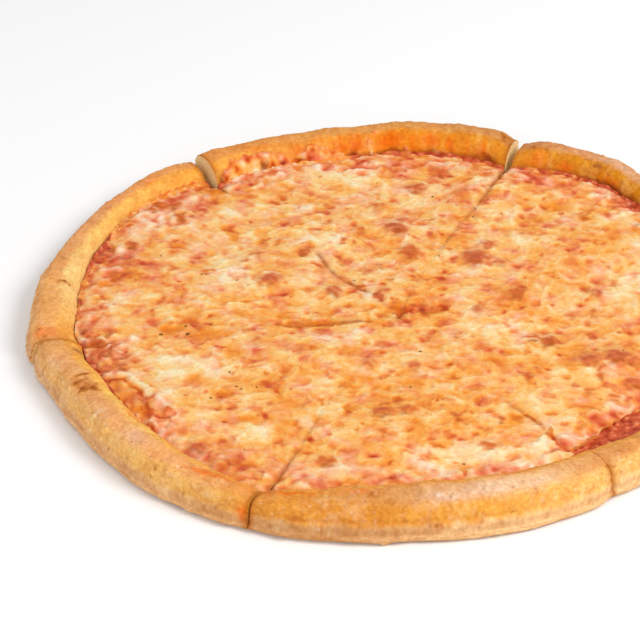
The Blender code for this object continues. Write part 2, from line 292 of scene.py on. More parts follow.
def along(values, share):
    """Read a smooth curve through evenly spaced values, at shares from 0 to 1."""
    padded = np.concatenate(([2 * values[0] - values[1]], values, [2 * values[-1] - values[-2]]))
    place = np.clip(share, 0.0, 1.0) * (len(values) - 1)
    start = np.minimum(place.astype(int), len(values) - 2)
    t = place - start
    a, b, c, d = (padded[start + i] for i in range(4))
    return b + 0.5 * t * (c - a + t * (2 * a - 5 * b + 4 * c - d + t * (3 * (b - c) + d - a)))


def ripple(rng, share, waves, size):
    """A smooth random wobble along the rim: a few sine waves with random phases."""
    total = np.zeros_like(share)
    for count in waves:
        total += np.sin(2 * np.pi * (count * share + rng.random())) / len(waves)
    return size * total


def cut_direction(cut, radius):
    """Where a cut runs at a radius, in radians: its own direction, swing and sideways sway."""
    direction, swing, *_ = CUTS[cut]
    bend = np.radians(direction + swing * (1 - smooth_step(SWING_FROM, SWING_TO, radius)))
    reach = SWAY_STEP * (len(SWAYS[cut]) - 1)
    return bend + along(SWAYS[cut], radius / reach) / radius


def crack(cut, radius):
    """How strongly a cut shows in the cheese at a radius, from 0 to 1."""
    places, strengths = zip(*CRACKS[cut])
    return np.interp(radius, places, strengths)


def half_gap(cut, radius):
    """Half the width of a cut: closed in the middle, opening towards the rim."""
    _, _, rim_gap, opens_at, _ = CUTS[cut]
    opened = smooth_step(opens_at, GAP_FULL_AT, radius)
    return 0.5 * (FUSED_GAP + (rim_gap - FUSED_GAP) * opened)


def directions(name, share, radius):
    """The direction of each point in radians, and its distance from each of the two cuts."""
    first, second = SLICES[name]["cuts"]
    start = cut_direction(first, radius) + np.arcsin(half_gap(first, radius) / radius)
    end = cut_direction(second, radius) - np.arcsin(half_gap(second, radius) / radius)
    end = np.where(end < start, end + 2 * np.pi, end)
    angle = start + share * (end - start)
    return angle, radius * (angle - start), radius * (end - angle)


def rim_sizes(name, share):
    """Outer radius, crest height and width of the rim across a slice, with small wobbles."""
    sizes = SLICES[name]
    rng = np.random.default_rng(SEED + list(SLICES).index(name))
    outer = along(sizes["outer"], share) + ripple(rng, share, (2, 3, 5), 0.5)
    crest = along(sizes["crest"], share) + ripple(rng, share, (2, 4, 5), 0.6)
    width = along(sizes["width"], share)
    length = outer * np.pi / 3
    for cut, from_cut in zip(sizes["cuts"], (share * length, (1 - share) * length)):
        pressed = CUTS[cut][4] * np.exp(-(from_cut / NOTCH_REACH) ** 2)
        crest = crest - pressed
        outer = outer - CORNER_CUT * pressed
    return outer, crest, width


def rim_degrees(angle):
    """Directions in degrees that start over at the cut on the right, as the lists below do."""
    degrees = np.degrees(angle)
    return np.where(degrees > CUTS["east"][0] + 360, degrees - 360, degrees)


def inner_wall(depth, crest, width):
    """Height of the rim's inner slope at a depth in mm past its foot: a superellipse."""
    left = np.clip(1 - np.maximum(depth, 0) / ((1 - CREST_SHARE) * width), 0, 1)
    rise = (1 - left ** INNER_POWER) ** (1 / INNER_POWER)
    return DOUGH_TOP + (crest - DOUGH_TOP) * rise


for name in SLICES:
    outer, crest, width = rim_sizes(name, np.linspace(0, 1, 50))
    print(name, "rim reaches", outer.max().round(1), "mm and is", crest.max().round(1), "mm high")

# %% [markdown]
# ## Colours as arrays
#
# Colours picked from a picture are sRGB numbers, but a shader works in linear light. One function
# converts them. Two more work on whole arrays: one reads a row of colours like a ramp, and one
# fades what is there towards one more colour, as a painter glazes a picture.

# %% Colour helpers


def linear(hex_colour):
    """Turn an sRGB hex colour into the linear RGBA that a shader takes."""
    srgb = np.array([int(hex_colour[i:i + 2], 16) for i in (0, 2, 4)]) / 255
    rgb = np.where(srgb <= 0.04045, srgb / 12.92, ((srgb + 0.055) / 1.055) ** 2.4)
    return (*rgb, 1.0)


def ramp(value, stops):
    """Colours for an array of numbers, faded between stops of (number, hex colour)."""
    numbers = [number for number, _ in stops]
    colours = np.array([linear(hex_colour)[:3] for _, hex_colour in stops])
    return np.stack([np.interp(value, numbers, colours[:, i]) for i in range(3)], axis=-1)


def fade(colour, other, share):
    """Move an array of colours towards another array or hex colour by a share from 0 to 1."""
    if isinstance(other, str):
        other = np.array(linear(other)[:3])
    return colour + (other - colour) * np.clip(share, 0, 1)[..., None]


print("golden dough in linear light:", np.round(linear("E8A458")[:3], 3))

# %% [markdown]
# ## Closed pieces from grids
#
# Each layer is a slab: a top that we work out point by point on a grid, an underside, and a wall
# round the border that joins them. Built this way, every piece is closed, its faces point
# outwards, and each top point has a row and a column, so that formulas can run over whole arrays.
# Each point also stores its colour and how wet it is, for the materials to read.

# %% Slab helpers
SHARP_FROM = np.radians(62)   # edges bent by more than this stay sharp


def border(rows, columns):
    """Row and column numbers round a grid's border, anticlockwise seen from above."""
    row = np.concatenate((np.zeros(columns), np.arange(1, rows), np.full(columns - 1, rows - 1),
                          np.arange(rows - 2, 0, -1)))
    column = np.concatenate((np.arange(columns), np.full(rows - 1, columns - 1),
                             np.arange(columns - 2, -1, -1), np.zeros(rows - 2)))
    return row.astype(int), column.astype(int)


def quads(numbers):
    """Four-sided faces between the neighbours of a grid of point numbers."""
    return np.stack((numbers[:-1, :-1], numbers[:-1, 1:], numbers[1:, 1:], numbers[1:, :-1]),
                    axis=-1).reshape(-1, 4)


def slab(name, top, under, levels, paint, wet, flat=False):
    """A closed mesh between a top grid and an underside grid, in mm from the crossing.

    The wall goes down from the top's border to the underside's, with a row of points at each
    level, a share of the way down. Paint is an array for the top, one hex colour for the wall
    and an array for the underside, or None where that is flat: then it is one single face.
    """
    rows, columns, _ = top.shape
    row, column = border(rows, columns)
    rim_top = top[row, column]
    rim_under = under[row, column]
    levels = np.array((*levels, 1.0) if flat else levels)[:, None, None]
    wall = rim_top + (rim_under - rim_top) * levels
    top_paint, wall_paint, under_paint = paint
    wall_colour = np.zeros_like(wall) + np.array(linear(wall_paint)[:3])
    parts = [top.reshape(-1, 3), wall.reshape(-1, 3)]
    colours = [top_paint.reshape(-1, 3), wall_colour.reshape(-1, 3)]
    count = rows * columns
    top_numbers = np.arange(count).reshape(rows, columns)
    wall_numbers = count + np.arange(wall.shape[0] * len(row)).reshape(wall.shape[0], -1)
    rings = [top_numbers[row, column], wall_numbers]
    if flat:
        last_face = wall_numbers[-1][::-1]
        faces = [quads(top_numbers)]
    else:
        under_numbers = top_numbers + count + wall_numbers.size
        parts.append(under.reshape(-1, 3))
        colours.append(under_paint.reshape(-1, 3))
        rings.append(under_numbers[row, column])
        last_face = np.zeros(0, dtype=int)
        faces = [quads(top_numbers), quads(under_numbers.T)]
    rings = np.vstack(rings)
    faces.append(quads(np.hstack((rings, rings[:, :1])).T))
    faces = np.vstack(faces)
    points = np.concatenate(parts)
    colours = np.concatenate(colours)

    mesh = bpy.data.meshes.new(name)
    mesh.vertices.add(len(points))
    placed = (points + np.array((*CROSSING, 0.0))) * MM
    placed = np.clip(placed, np.array(cad_low), np.array(cad_high))
    mesh.vertices.foreach_set("co", placed.astype(np.float32).ravel())
    corners = np.concatenate((faces.ravel(), last_face))
    starts = np.arange(len(faces) + (1 if flat else 0)) * 4
    mesh.loops.add(len(corners))
    mesh.loops.foreach_set("vertex_index", corners.astype(np.int32))
    mesh.polygons.add(len(starts))
    mesh.polygons.foreach_set("loop_start", starts.astype(np.int32))
    mesh.update(calc_edges=True)
    mesh.shade_smooth()
    mesh.set_sharp_from_angle(angle=SHARP_FROM)
    layer = mesh.attributes.new("paint", "FLOAT_COLOR", "POINT")
    rgba = np.concatenate((np.clip(colours, 0, 1), np.ones((len(colours), 1))), axis=1)
    layer.data.foreach_set("color", rgba.astype(np.float32).ravel())
    layer = mesh.attributes.new("wet", "FLOAT", "POINT")
    spread = np.zeros(len(points))
    spread[:count] = np.clip(wet, 0, 1).ravel()
    layer.data.foreach_set("value", spread.astype(np.float32))
    print(f"{name}: {2 * len(faces) + max(len(last_face) - 2, 0)} triangles")
    return mesh


def serve(mesh, material, slot, *stands_for):
    """Put a mesh on the table as a piece of the pizza, in place of the plain one."""
    mesh.materials.append(material)
    made = bpy.data.objects.new(mesh.name, mesh)
    bpy.context.scene.collection.objects.link(made)
    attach(made, "root")
    if stands_for:
        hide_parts(*stands_for)
    return made


# %% [markdown]
# ## Nodes
#
# One function adds a node, sets it up and links it, so that a whole material reads as a short
# list of steps. Every food here shares its first step: it reads the colour stored in the mesh and
# lets a fine noise darken and lighten it, because no food is smooth under a millimetre.

# %% Node helper
FACTOR, FIRST, SECOND, RESULT = 0, 6, 7, 2   # sockets of a Mix node that mixes colours


def add_node(material, kind, inputs=None, stops=None, **settings):
    """Add one node: settings are its own properties, inputs are values or sockets to link.

    Stops are a colour ramp's positions and hex colours.
    """
    tree = material.node_tree
    node = tree.nodes.new("ShaderNode" + kind)
    for key, value in settings.items():
        setattr(node, key, value)
    for key, value in (inputs or {}).items():
        if isinstance(value, bpy.types.NodeSocket):
            tree.links.new(value, node.inputs[key])
        else:
            node.inputs[key].default_value = value
    for number, (position, hex_colour) in enumerate(stops or ()):
        if number >= len(node.color_ramp.elements):
            node.color_ramp.elements.new(position)
        node.color_ramp.elements[number].position = position
        node.color_ramp.elements[number].color = linear(hex_colour)
    return node


def new_material(name):
    """A material with nodes, and its shader."""
    material = bpy.data.materials.new(name)
    material.use_nodes = True
    return material, material.node_tree.nodes["Principled BSDF"]


def painted(material, grain, dark, light):
    """The stored colour, multiplied by a grain noise that runs from dark to light."""
    paint = add_node(material, "Attribute", attribute_name="paint").outputs["Color"]
    shade = add_node(material, "ValToRGB", {"Fac": grain}, stops=((0.3, dark), (0.7, light)))
    mixed = add_node(material, "Mix", {FACTOR: 1.0, FIRST: paint, SECOND: shade.outputs[0]},
                     data_type="RGBA", blend_type="MULTIPLY")
    return mixed.outputs[RESULT]

# %% [markdown]
# ## Melted cheese: the material
#
# The cheese is low-moisture mozzarella, shredded and melted into one skin. The eye sees soft,
# slightly see-through stuff with a low oily gloss, which is shinier where fat came out and dull
# where it dried. The fine grain is the fat that stays in droplets under the skin.

# %% Cheese material


def make_cheese():
    """Build the melted cheese's nodes."""
    material, shader = new_material("melted_mozzarella")
    place = add_node(material, "TexCoord").outputs["Object"]
    grain = add_node(material, "TexNoise", {"Vector": place, "Scale": 1 / (1.1 * MM),
                                            "Detail": 3.0, "Roughness": 0.6}).outputs["Fac"]
    colour = painted(material, grain, "EAE4DC", "FFFFFF")
    wet = add_node(material, "Attribute", attribute_name="wet").outputs["Fac"]
    gloss = add_node(material, "MapRange", {"Value": wet, "To Min": 0.50, "To Max": 0.24})
    bump = add_node(material, "Bump", {"Height": grain, "Strength": 0.45, "Distance": 0.3 * MM})
    link = material.node_tree.links.new
    link(colour, shader.inputs["Base Color"])
    link(gloss.outputs[0], shader.inputs["Roughness"])
    link(bump.outputs[0], shader.inputs["Normal"])
    shader.inputs["Specular IOR Level"].default_value = 0.16
    shader.inputs["Subsurface Weight"].default_value = 0.08
    shader.inputs["Subsurface Radius"].default_value = (1.0, 0.45, 0.2)
    shader.inputs["Subsurface Scale"].default_value = 1.0 * MM
    return material


cheese_material = make_cheese()
print(cheese_material.name, "has", len(cheese_material.node_tree.nodes), "nodes")

# %% [markdown]
# ## Tomato sauce: the material
#
# The sauce is cooked tomato pulp. It shows only at the foot of the rim and in the open cuts,
# where it has dried to a dark, wet-looking red. Its pulp and skins give a coarse, shiny relief.

# %% Sauce material


def make_sauce():
    """Build the tomato sauce's nodes."""
    material, shader = new_material("cooked_tomato_sauce")
    place = add_node(material, "TexCoord").outputs["Object"]
    pulp = add_node(material, "TexNoise", {"Vector": place, "Scale": 1 / (2.0 * MM),
                                           "Detail": 4.0, "Roughness": 0.65}).outputs["Fac"]
    colour = painted(material, pulp, "E4CCBC", "FFFFFF")
    bump = add_node(material, "Bump", {"Height": pulp, "Strength": 0.7, "Distance": 0.6 * MM})
    link = material.node_tree.links.new
    link(colour, shader.inputs["Base Color"])
    link(bump.outputs[0], shader.inputs["Normal"])
    shader.inputs["Roughness"].default_value = 0.28
    shader.inputs["Specular IOR Level"].default_value = 0.18
    return material


sauce_material = make_sauce()
print(sauce_material.name, "has", len(sauce_material.node_tree.nodes), "nodes")

# %% [markdown]
# ## Baked crust: the material
#
# The rim is wheat dough, baked golden. Outside it is dry and matt, with the fine grain of flour
# and tiny burst bubbles; inside it was brushed by hot fat and shines.

# %% Crust material


def make_crust():
    """Build the baked dough's nodes."""
    material, shader = new_material("baked_wheat_dough")
    place = add_node(material, "TexCoord").outputs["Object"]
    grain = add_node(material, "TexNoise", {"Vector": place, "Scale": 1 / (1.3 * MM),
                                            "Detail": 5.0, "Roughness": 0.7}).outputs["Fac"]
    colour = painted(material, grain, "E4DACA", "FFFFFF")
    bump = add_node(material, "Bump", {"Height": grain, "Strength": 0.35, "Distance": 0.3 * MM})
    wet = add_node(material, "Attribute", attribute_name="wet").outputs["Fac"]
    gloss = add_node(material, "MapRange", {"Value": wet, "To Min": 0.72, "To Max": 0.32})
    link = material.node_tree.links.new
    link(colour, shader.inputs["Base Color"])
    link(gloss.outputs[0], shader.inputs["Roughness"])
    link(bump.outputs[0], shader.inputs["Normal"])
    shader.inputs["Specular IOR Level"].default_value = 0.08
    return material


crust_material = make_crust()
print(crust_material.name, "has", len(crust_material.node_tree.nodes), "nodes")

# %% [markdown]
# ## The cheese's surface
#
# A real pizza's browned bubbles, ivory pools and oily patches each have their own place, so the
# large ones are listed: x, y, length, width, turn and strength. Everything smaller comes from the
# noises. The same numbers raise the surface and colour it, so a bubble is both brown and proud.

# %% Places on the cheese
PURPLE_BLISTERS = (
    (34, 46, 13, 11, 60, 1.0), (40, 56, 9, 7, 20, 0.7), (44, 42, 7, 6, 0, 0.7),
    (1, 69, 11, 9, 90, 1.0), (3, 77, 6, 5, 0, 0.6), (10, 105, 11, 7, 0, 0.8),
    (30, 100, 9, 6, 70, 0.6), (-7, 16, 10, 5, 70, 0.95), (33, 6, 8, 6, 0, 0.6),
    (84, 17, 9, 7, 0, 0.6), (76, -33, 10, 8, 0, 0.75), (87, -31, 12, 10, 20, 0.95),
    (93, -33, 7, 5, 0, 0.7), (93, -47, 8, 6, 0, 0.7), (81, -39, 6, 5, 0, 0.55),
    (-54, 27, 11, 8, 20, 0.8), (-27, 20, 9, 7, 10, 0.75), (-60, 49, 8, 7, 0, 0.55),
    (-80, -90, 9, 7, 0, 0.8), (-117, -24, 7, 4, 30, 0.75), (-113, -27, 7, 4, 0, 0.7),
    (-113, -34, 6, 4, 0, 0.7), (-101, -60, 8, 4, 40, 0.7), (6, -36, 7, 6, 0, 0.55),
    (-123, -19, 8, 5, -30, 0.8), (-121, -25, 7, 5, 0, 0.7), (-119, -35, 7, 4, 0, 0.6),
    (-125, -27, 4, 5, 0, 0.7), (-119, -11, 4, 4, 0, 0.7), (-116, -30, 5, 4, 0, 0.7),
    (-13, -34, 8, 6, 80, 0.55), (-13, 36, 7, 6, 0, 0.45),
)
RED_BLISTERS = (
    (62, -18, 9, 7, 0, 0.95), (56, -16, 12, 3, -15, 0.6), (50, 17, 9, 7, 0, 0.85),
    (6, 50, 10, 9, 60, 0.85), (7, 55, 6, 4, 0, 0.6), (-7, 89, 8, 7, 0, 0.65),
    (-15, 69, 6, 5, 0, 0.5), (-8, 40, 5, 4, 0, 0.45), (-3, 28, 5, 4, 0, 0.45),
    (-23, 44, 5, 4, 0, 0.45), (-39, 51, 7, 5, 0, 0.85), (-51, 60, 5, 4, 0, 0.5),
    (-57, 61, 5, 4, 0, 0.5), (-23, 59, 5, 4, 0, 0.55), (-81, 34, 9, 3, 10, 0.6),
    (-104, 92, 7, 5, 0, 0.9), (-97, 90, 7, 5, 30, 0.7), (-94, 79, 6, 5, 0, 0.8),
    (-88, 82, 5, 4, 0, 0.6), (-106, 85, 5, 4, 0, 0.6), (-114, 57, 6, 6, 0, 0.95),
    (-120, 33, 5, 5, 0, 0.7), (16, 56, 5, 4, 0, 0.45), (-118, 76, 5, 5, 0, 0.5),
    (16, 77, 8, 3, 20, 0.45), (36, 81, 5, 4, 0, 0.45), (85, 85, 16, 3, 33, 0.55),
    (92, 27, 5, 5, 0, 0.5), (48, 67, 5, 4, 0, 0.4), (56, 65, 5, 4, 0, 0.4),
    (72, 76, 5, 4, 0, 0.4), (20, 11, 5, 4, 0, 0.45), (-59, -18, 8, 7, 0, 0.5),
    (-63, -10, 5, 4, 0, 0.45), (-38, -63, 5, 5, 0, 0.5), (-49, -47, 5, 4, 0, 0.45),
    (-29, -35, 5, 4, 0, 0.45), (-41, -25, 5, 4, 0, 0.45), (-93, -68, 6, 4, 0, 0.6),
    (-99, -77, 5, 4, 0, 0.65), (-74, -99, 5, 4, 0, 0.5), (-66, -99, 5, 4, 0, 0.5),
    (-55, -107, 5, 4, 0, 0.5), (75, -52, 6, 5, 0, 0.55), (84, -56, 5, 4, 0, 0.5),
    (89, -59, 5, 4, 0, 0.45), (51, -43, 7, 5, 80, 0.7), (55, -39, 4, 4, 0, 0.45),
    (80, -44, 6, 5, 0, 0.65), (-8, -68, 8, 6, 0, 0.8), (0, -66, 7, 6, 0, 0.65),
    (-7, -75, 5, 4, 0, 0.45), (21, -70, 6, 4, 0, 0.65), (16, -64, 5, 4, 0, 0.45),
    (72, 2, 7, 5, 0, 0.55), (81, 3, 6, 5, 0, 0.55), (12, -14, 6, 4, 0, 0.5),
    (24, -12, 6, 4, 0, 0.5), (-7, -20, 5, 4, 0, 0.45), (33, -89, 9, 6, 0, 0.65),
    (-30, -100, 9, 6, 0, 0.7), (-27, -117, 7, 2, 0, 0.8), (22, 120, 7, 9, 0, 0.6),
    (24, -112, 7, 3, 0, 0.9), (-4, -113, 6, 4, 0, 0.5), (38, -72, 3, 3, 0, 0.7),
    (12, 6, 8, 5, 0, 0.75), (-16, 23, 7, 2, 0, 0.7), (-119, -12, 4, 3, 0, 0.7),
)
OCHRE_SPOTS = (
    (-94, 57, 7, 5, 0, 0.8), (-71, 62, 7, 5, 0, 0.8), (-43, 122, 8, 6, 0, 0.9),
    (-40, 94, 10, 6, 0, 0.9), (-125, 26, 9, 5, 0, 1.0), (-120, 30, 5, 4, 0, 0.8),
    (71, 91, 8, 7, 80, 1.0), (45, 99, 6, 5, 0, 0.9), (97, 65, 8, 5, 80, 0.9),
    (87, 70, 6, 5, 0, 0.7), (-62, -72, 6, 4, 0, 0.9), (-44, -76, 8, 4, -30, 0.9),
    (-83, -44, 6, 5, 0, 0.9), (-73, -65, 5, 4, 0, 0.8), (-70, -55, 6, 4, 0, 0.9),
    (43, -27, 6, 5, 0, 0.8), (34, -22, 6, 4, 0, 0.7), (43, -72, 8, 6, 0, 0.9),
    (38, -77, 6, 4, 0, 0.7), (-95, -9, 12, 10, 0, 0.8), (-33, -3, 15, 4, 0, 0.9),
    (-7, -5, 10, 5, 0, 0.6), (2, 8, 8, 7, 0, 1.0), (-10, -45, 30, 6, -12, 0.7),
    (-78, 100, 8, 8, 0, 0.9), (-62, 102, 8, 4, 0, 0.9), (-78, -13, 26, 7, 5, 0.8),
    (-88, 110, 8, 6, 0, 0.6), (30, 98, 8, 6, 0, 0.8), (56, 91, 8, 6, 0, 0.6),
    (-113, -54, 24, 9, -48, 1.0), (-104, -68, 10, 5, -50, 0.8), (-66, 98, 8, 5, 0, 0.8),
)
CREAM_POOLS = (
    (-31, 112, 34, 22, -10, 1.0), (-73, 83, 22, 18, 0, 0.9), (-39, 89, 16, 12, 0, 0.6),
    (-101, 48, 16, 10, 0, 0.6), (-91, -37, 30, 22, 0, 1.0), (-99, -22, 16, 10, 0, 0.6),
    (-61, -81, 16, 12, 0, 0.9), (-81, -72, 14, 10, 0, 0.6), (39, 110, 12, 9, 0, 0.5),
    (40, -62, 12, 9, 0, 0.5), (55, -88, 9, 5, 20, 1.0), (-50, -100, 22, 12, -20, 0.7),
    (105, 30, 34, 34, 0, 0.6), (-66, 30, 30, 40, 20, 0.45), (60, 35, 20, 12, 0, 0.4),
    (25, 90, 40, 20, -10, 0.45), (-110, 5, 16, 12, 0, 0.5), (-20, 75, 30, 18, 0, 0.35),
    (60, 60, 40, 26, 20, 0.35), (52, -62, 24, 16, 20, 0.5), (-119, 15, 14, 6, 80, 0.6),
    (2, -30, 14, 22, 0, 0.4), (0, -94, 18, 10, 0, 0.4), (30, -98, 22, 8, 5, 0.4),
    (-30, 60, 16, 12, 0, 0.4),
)
ORANGE_AREAS = (
    (-8, -62, 90, 44, 0, 0.75), (62, -30, 44, 40, 0, 0.75), (-55, -52, 44, 30, 0, 0.6),
    (-90, -5, 30, 18, 0, 0.9), (95, 60, 34, 24, 0, 0.7), (22, -70, 60, 34, 0, 0.6),
    (60, 8, 40, 22, 0, 0.6), (78, 90, 40, 22, -20, 0.6), (-22, 4, 60, 26, 0, 0.8),
    (8, 12, 26, 30, 0, 0.9), (-38, -88, 24, 16, 0, 0.8), (30, 60, 40, 16, 0, 0.4),
    (-50, 56, 26, 16, 0, 0.5), (80, 18, 24, 20, 0, 0.5), (12, 50, 20, 30, 0, 0.5),
    (62, -66, 50, 20, 10, 0.4),
)
ROSY_AREAS = (
    (-100, 88, 44, 34, 40, 1.0), (-62, 118, 54, 24, 20, 0.8), (5, 125, 80, 16, 0, 0.9),
    (-118, -24, 26, 18, 0, 1.0), (-118, 45, 20, 40, 0, 0.8), (70, 112, 50, 16, -35, 0.9),
    (100, 95, 30, 20, -45, 0.9), (30, -108, 70, 12, 8, 0.9), (-20, -110, 60, 10, -3, 0.8),
    (90, -62, 40, 18, 30, 0.7), (-85, -88, 70, 12, -45, 0.8), (-20, -14, 22, 12, 0, 0.6),
    (60, 5, 60, 20, 0, 0.3), (60, -90, 30, 14, 30, 0.8), (40, 104, 20, 12, 0, 0.5),
    (-92, -74, 22, 14, -50, 0.9), (-127, -2, 12, 20, 0, 0.6), (-76, -6, 30, 8, 0, 0.4),
)
# Where sparse shreds melted into separate lumps, mostly beside the rim
LUMPY_AREAS = (
    (-100, 86, 46, 34, 45, 1.0), (-64, 112, 50, 22, 18, 1.0), (-14, 124, 60, 14, 0, 0.9),
    (-121, -24, 24, 26, 0, 1.0), (-122, 44, 20, 46, 0, 1.0), (62, 112, 44, 14, -35, 0.9),
    (98, 90, 34, 16, -48, 0.9), (-98, -74, 34, 12, -50, 0.9), (86, -70, 50, 16, 35, 0.9),
    (20, -106, 76, 10, 5, 0.8), (-40, -112, 50, 8, -12, 0.7), (-4, 4, 34, 9, 8, 1.0),
    (16, 4, 18, 9, 0, 1.0), (-42, -3, 30, 7, 6, 0.9), (-94, -4, 26, 12, 0, 0.8),
    (40, 104, 26, 10, 0, 0.6), (-125, 10, 10, 30, 0, 0.8),
)
# Where there is hardly any cheese and the sauce shows
SAUCE_PITS = (
    (-126, 51, 20, 8, 78, 1.0), (-117, 47, 11, 9, 0, 0.7), (-131, 28, 7, 9, 0, 0.7),
    (-128, -12, 9, 13, 20, 0.85), (-128, -20, 9, 6, 0, 1.0), (-125, -34, 22, 5, -55, 1.0),
    (-99, -78, 8, 4, -45, 0.9), (-100, 102, 7, 5, 0, 0.8), (-87, 112, 9, 5, 0, 0.8),
    (-80, 110, 12, 6, 60, 0.9), (-72, 108, 16, 5, 10, 0.6), (22, 119, 12, 10, 0, 0.6),
    (63, -93, 20, 4, 8, 0.8), (93, -66, 26, 6, 40, 0.8), (76, -86, 20, 9, 30, 0.9),
    (102, 94, 16, 6, -40, 0.8), (107, 74, 10, 8, 0, 0.5), (-95, -70, 14, 3, 0, 0.6),
    (45, 108, 16, 3, 15, 0.6), (-71, 109, 9, 6, 0, 0.7), (-109, 88, 6, 5, 0, 0.5),
    (7, 6.5, 14, 8, 0, 1.3), (-31, -5, 16, 2.0, 6, 0.7), (0, 3, 3.5, 4, 0, 1.0),
    (-4, -5, 12, 4, 10, 0.7),
)
# Lines of points: thick folds of cheese, thin red lines beside them, and small furrows
FOLDS = (
    (((-121, -42), (-115, -39), (-109, -43), (-102, -52), (-97, -59), (-93, -67)), 1.9, 1.0),
    (((50, -90), (54, -86), (58, -80)), 1.4, 0.8),
    (((-20, 123), (-9, 117), (-4, 108)), 1.6, 0.5),
    (((-60, 90), (-45, 82), (-30, 80)), 1.3, 0.5),
    (((-50, 70), (-38, 74), (-25, 70)), 1.2, 0.5),
    (((-96, 30), (-80, 36), (-62, 34)), 1.3, 0.5),
    (((-66, 66), (-56, 72), (-42, 66)), 1.2, 0.5),
    (((-90, 12), (-72, 8), (-56, 12)), 1.3, 0.4),
)
RED_LINES = (
    (((-121, -48), (-117, -45), (-112, -45), (-107, -50), (-103, -57), (-100, -66)), 1.0, 0.9),
    (((57, -80), (58, -87), (60, -91), (66, -93)), 0.9, 1.0),
    (((48, -68), (51, -73)), 0.8, 0.9),
    (((-6, 113), (4, 117), (14, 113)), 1.2, 0.35),
    (((0, -94), (10, -98), (22, -97)), 0.8, 0.35),
)
# The bubbles that the plain solids have too: x, y, radius and height
BUBBLES = (
    (34, 45, 7.0, 1.5), (39, 55, 5.0, 0.9), (44, 42, 4.5, 0.8), (1, 69, 6.0, 1.1),
    (7, 49, 6.0, 0.8), (-7, 89, 5.5, 0.7), (10, 105, 5.5, 0.8), (30, 99, 5.0, 0.7),
    (-54, 27, 6.0, 0.9), (-60, 48, 6.0, 0.8), (-27, 20, 5.5, 0.8), (50, 17, 6.0, 1.0),
    (83, 16, 6.0, 1.0), (62, -19, 7.0, 1.1), (76, -34, 7.0, 1.3), (87, -31, 8.0, 1.6),
    (-14, -34, 5.5, 0.7), (6, -35, 5.5, 0.8), (-8, -68, 5.0, 0.8),
)
print(len(PURPLE_BLISTERS) + len(RED_BLISTERS), "browned blisters and", len(CREAM_POOLS), "pools")

# %% [markdown]
# ## How thick, pink, oily and browned the cheese is
#
# First the grid is warped a little by noise, so that nothing stays a perfect oval. Then the
# thickness is a middle value, plus noises from 42 mm down to 2.4 mm, plus the pools, less the thin
# areas and the strip along the rim, where the cheese was scattered sparsely. Shreds that lay on
# top leave pale strands: the places where a noise passes through zero make such thin lines.

# %% Cheese fields


